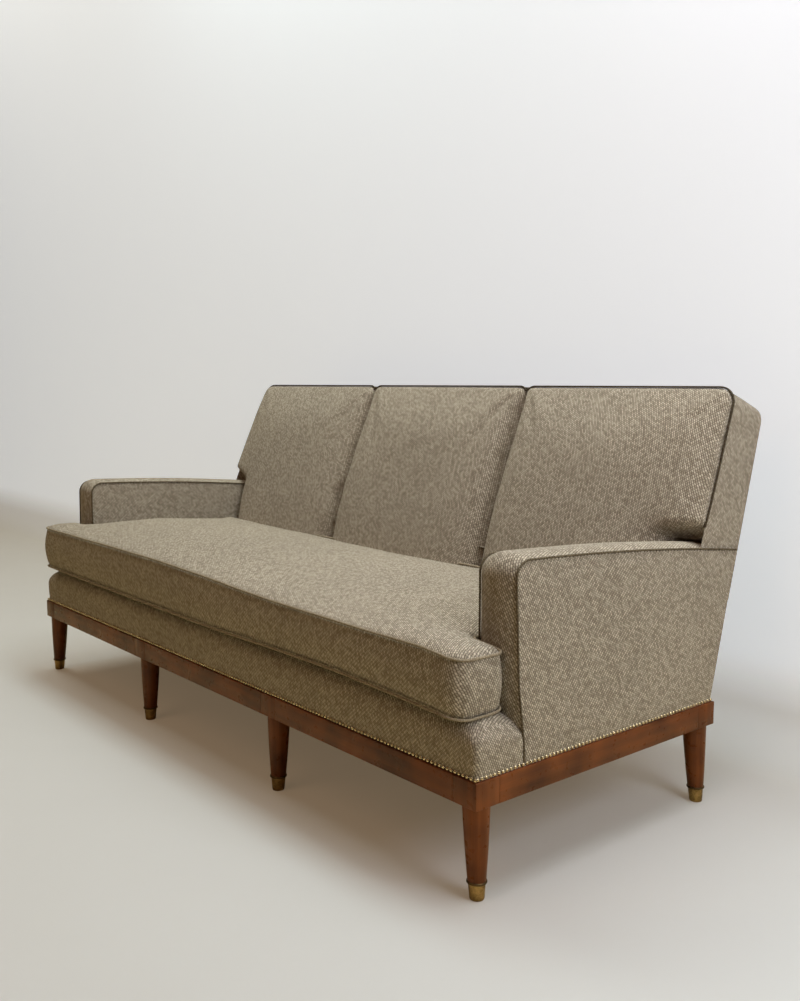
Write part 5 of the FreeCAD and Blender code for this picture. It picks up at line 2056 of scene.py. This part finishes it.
    def welts(self) -> None:
        """Lay a cord round each seam."""
        for name, height in (("upper", self.wall), ("lower", 0.0)):
            ring = outline_of(self.corners(PLAN.cord_radius * self.cord_out), steps=10)
            dense = []
            for a, b in zip(ring, np.roll(ring, -1, axis=0)):
                count = max(1, round(float(np.hypot(*(b - a))) / self.cord_step))
                dense += [a + (b - a) * k / count for k in range(count)]
            flat = np.array([(x, y, 0.0) for x, y in dense])
            drop = self.settle(flat, name == "upper")
            path = [Vector((x, y, self.seam + height + d)) for (x, y, _), d in zip(flat, drop)]
            piece = Bench.cord(f"seat_welt_{name}", path, PLAN.cord_radius, closed=True)
            Bench.dress(piece, SEAT_CORD, Body.SEAT, Slot.PIPING, [f"cushion_piping_{name}"])

    def build(self) -> None:
        """Make the cushion."""
        self.cover()
        self.welts()


@dataclass
class Studio:
    """The pale floor and wall, the soft lights and the camera."""

    lens: float = 36.64
    eye: tuple = (2.2354, -1.6766, 0.9325)
    turn_degrees: float = 50.05
    dip_degrees: float = 6.61
    floor_left: float = -14.0
    floor_width: float = 22.0
    floor_front: float = -7.0
    wall_y: float = 0.62
    cove: float = 0.12
    wall_height: float = 7.0
    lamps: tuple = (
        ("skylight", (0.3, 0.18, 3.8), (0.3, 0.17, 0.0), (4.0, 0.8), 80.0, (0.89, 1.0, 0.93)),
        ("near_skylight", (1.1, 0.05, 2.7), (0.9, 0.0, 0.0), (1.6, 0.6), 9.5, (1.0, 0.85, 0.88)),
        ("window", (2.5, -0.1, 1.45), (0.3, 0.1, 0.5), (0.9, 0.9), 15.5, (1.0, 1.0, 1.0)),
        ("far_skylight", (-3.6, -0.6, 5.2), (-3.4, 0.5, 0.5), (3.0, 1.6), 85.0, (1.0, 0.94, 0.76)),
        ("room", (0.4, -3.2, 3.8), (0.2, 0.2, 1.0), (3.0, 3.0), 25.0, (1.0, 0.56, 0.30)))
    air_light: tuple = (1.0, 0.70, 0.40, 1.0)
    air_seen: tuple = (0.72, 0.72, 0.71, 1.0)
    air_strength: float = 0.02

    def backdrop(self) -> None:
        """Make the floor and the wall behind the sofa, joined by a cove."""
        bm = bmesh.new()
        left, bend_y = self.floor_left, self.wall_y - self.cove
        start = bm.verts.new((left, self.floor_front, 0.0))
        foot = bm.verts.new((left, bend_y, 0.0))
        bm.edges.new((start, foot))
        made = bmesh.ops.spin(bm, geom=[foot], cent=(left, bend_y, self.cove), axis=(1, 0, 0),
                              angle=math.pi / 2, steps=16)["geom_last"]
        top = bm.verts.new((left, self.wall_y, self.wall_height))
        bm.edges.new((Bench.verts_of(made)[0], top))
        grown = bmesh.ops.extrude_edge_only(bm, edges=bm.edges[:])["geom"]
        bmesh.ops.translate(bm, verts=Bench.verts_of(grown), vec=(self.floor_width, 0, 0))
        bm.normal_update()
        if sum(face.normal.z for face in bm.faces) < 0:
            bmesh.ops.reverse_faces(bm, faces=bm.faces)
        mesh = bpy.data.meshes.new("studio_backdrop")
        bm.to_mesh(mesh)
        bm.free()
        piece = add_object("studio_backdrop", mesh)
        mesh.materials.append(Plaster("studio_plaster").material())
        mesh.shade_smooth()

    def lamp(self, name: str, place: Sequence[float], aim: Sequence[float], size: tuple[float, float],
             power: float, colour: Sequence[float]) -> None:
        """Hang a soft lamp.

        Args:
            name: The lamp's name.
            place: Where it hangs.
            aim: Where it points.
            size: Its width and depth.
            power: Its watts.
            colour: Its colour.
        """
        data = bpy.data.lights.new(name, "AREA")
        data.shape = "RECTANGLE"
        data.size, data.size_y = size
        data.energy = power
        data.color = colour
        lamp = add_object(name, data)
        lamp.location = place
        lamp.rotation_mode = "QUATERNION"
        lamp.rotation_quaternion = (Vector(aim) - Vector(place)).to_track_quat("-Z", "Y")

    def lights(self) -> None:
        """Hang the lamps and set the surroundings."""
        for lamp in self.lamps:
            self.lamp(*lamp)
        world = bpy.data.worlds.new("studio_air")
        world.use_nodes = True
        tree = Tree(world.node_tree)
        sky = world.node_tree.nodes["Background"]
        seen = tree.add("ShaderNodeLightPath").outputs["Is Camera Ray"]
        tree.feed(sky, Color=tree.blend(seen, self.air_light, self.air_seen),
                  Strength=tree.ramp(seen, 0.0, 1.0, self.air_strength, 1.0))
        bpy.context.scene.world = world

    def camera(self) -> None:
        """Stand the camera where the photograph was taken."""
        data = bpy.data.cameras.new("camera")
        data.lens = self.lens
        data.sensor_width = 36.0
        data.clip_end = 60.0
        camera = add_object("camera", data)
        camera.location = self.eye
        camera.rotation_euler = (math.radians(90.0 - self.dip_degrees), 0.0, math.radians(self.turn_degrees))
        bpy.context.scene.camera = camera
        bpy.context.scene.view_settings.view_transform = "Standard"

    def build(self) -> None:
        """Set up the studio."""
        self.backdrop()
        self.lights()
        self.camera()


def main() -> None:
    """Set up the studio, then build the sofa from its base up."""
    logging.basicConfig(level=logging.INFO, format="%(message)s")
    Studio().build()
    Plinth().build()
    HiddenFrame().build()
    DustCover().build()
    for side in Side:
        Arm(side).build()
    Back().build()
    SeatBase().build()
    SeatCushion().build()


if __name__ == "__main__":
    main()
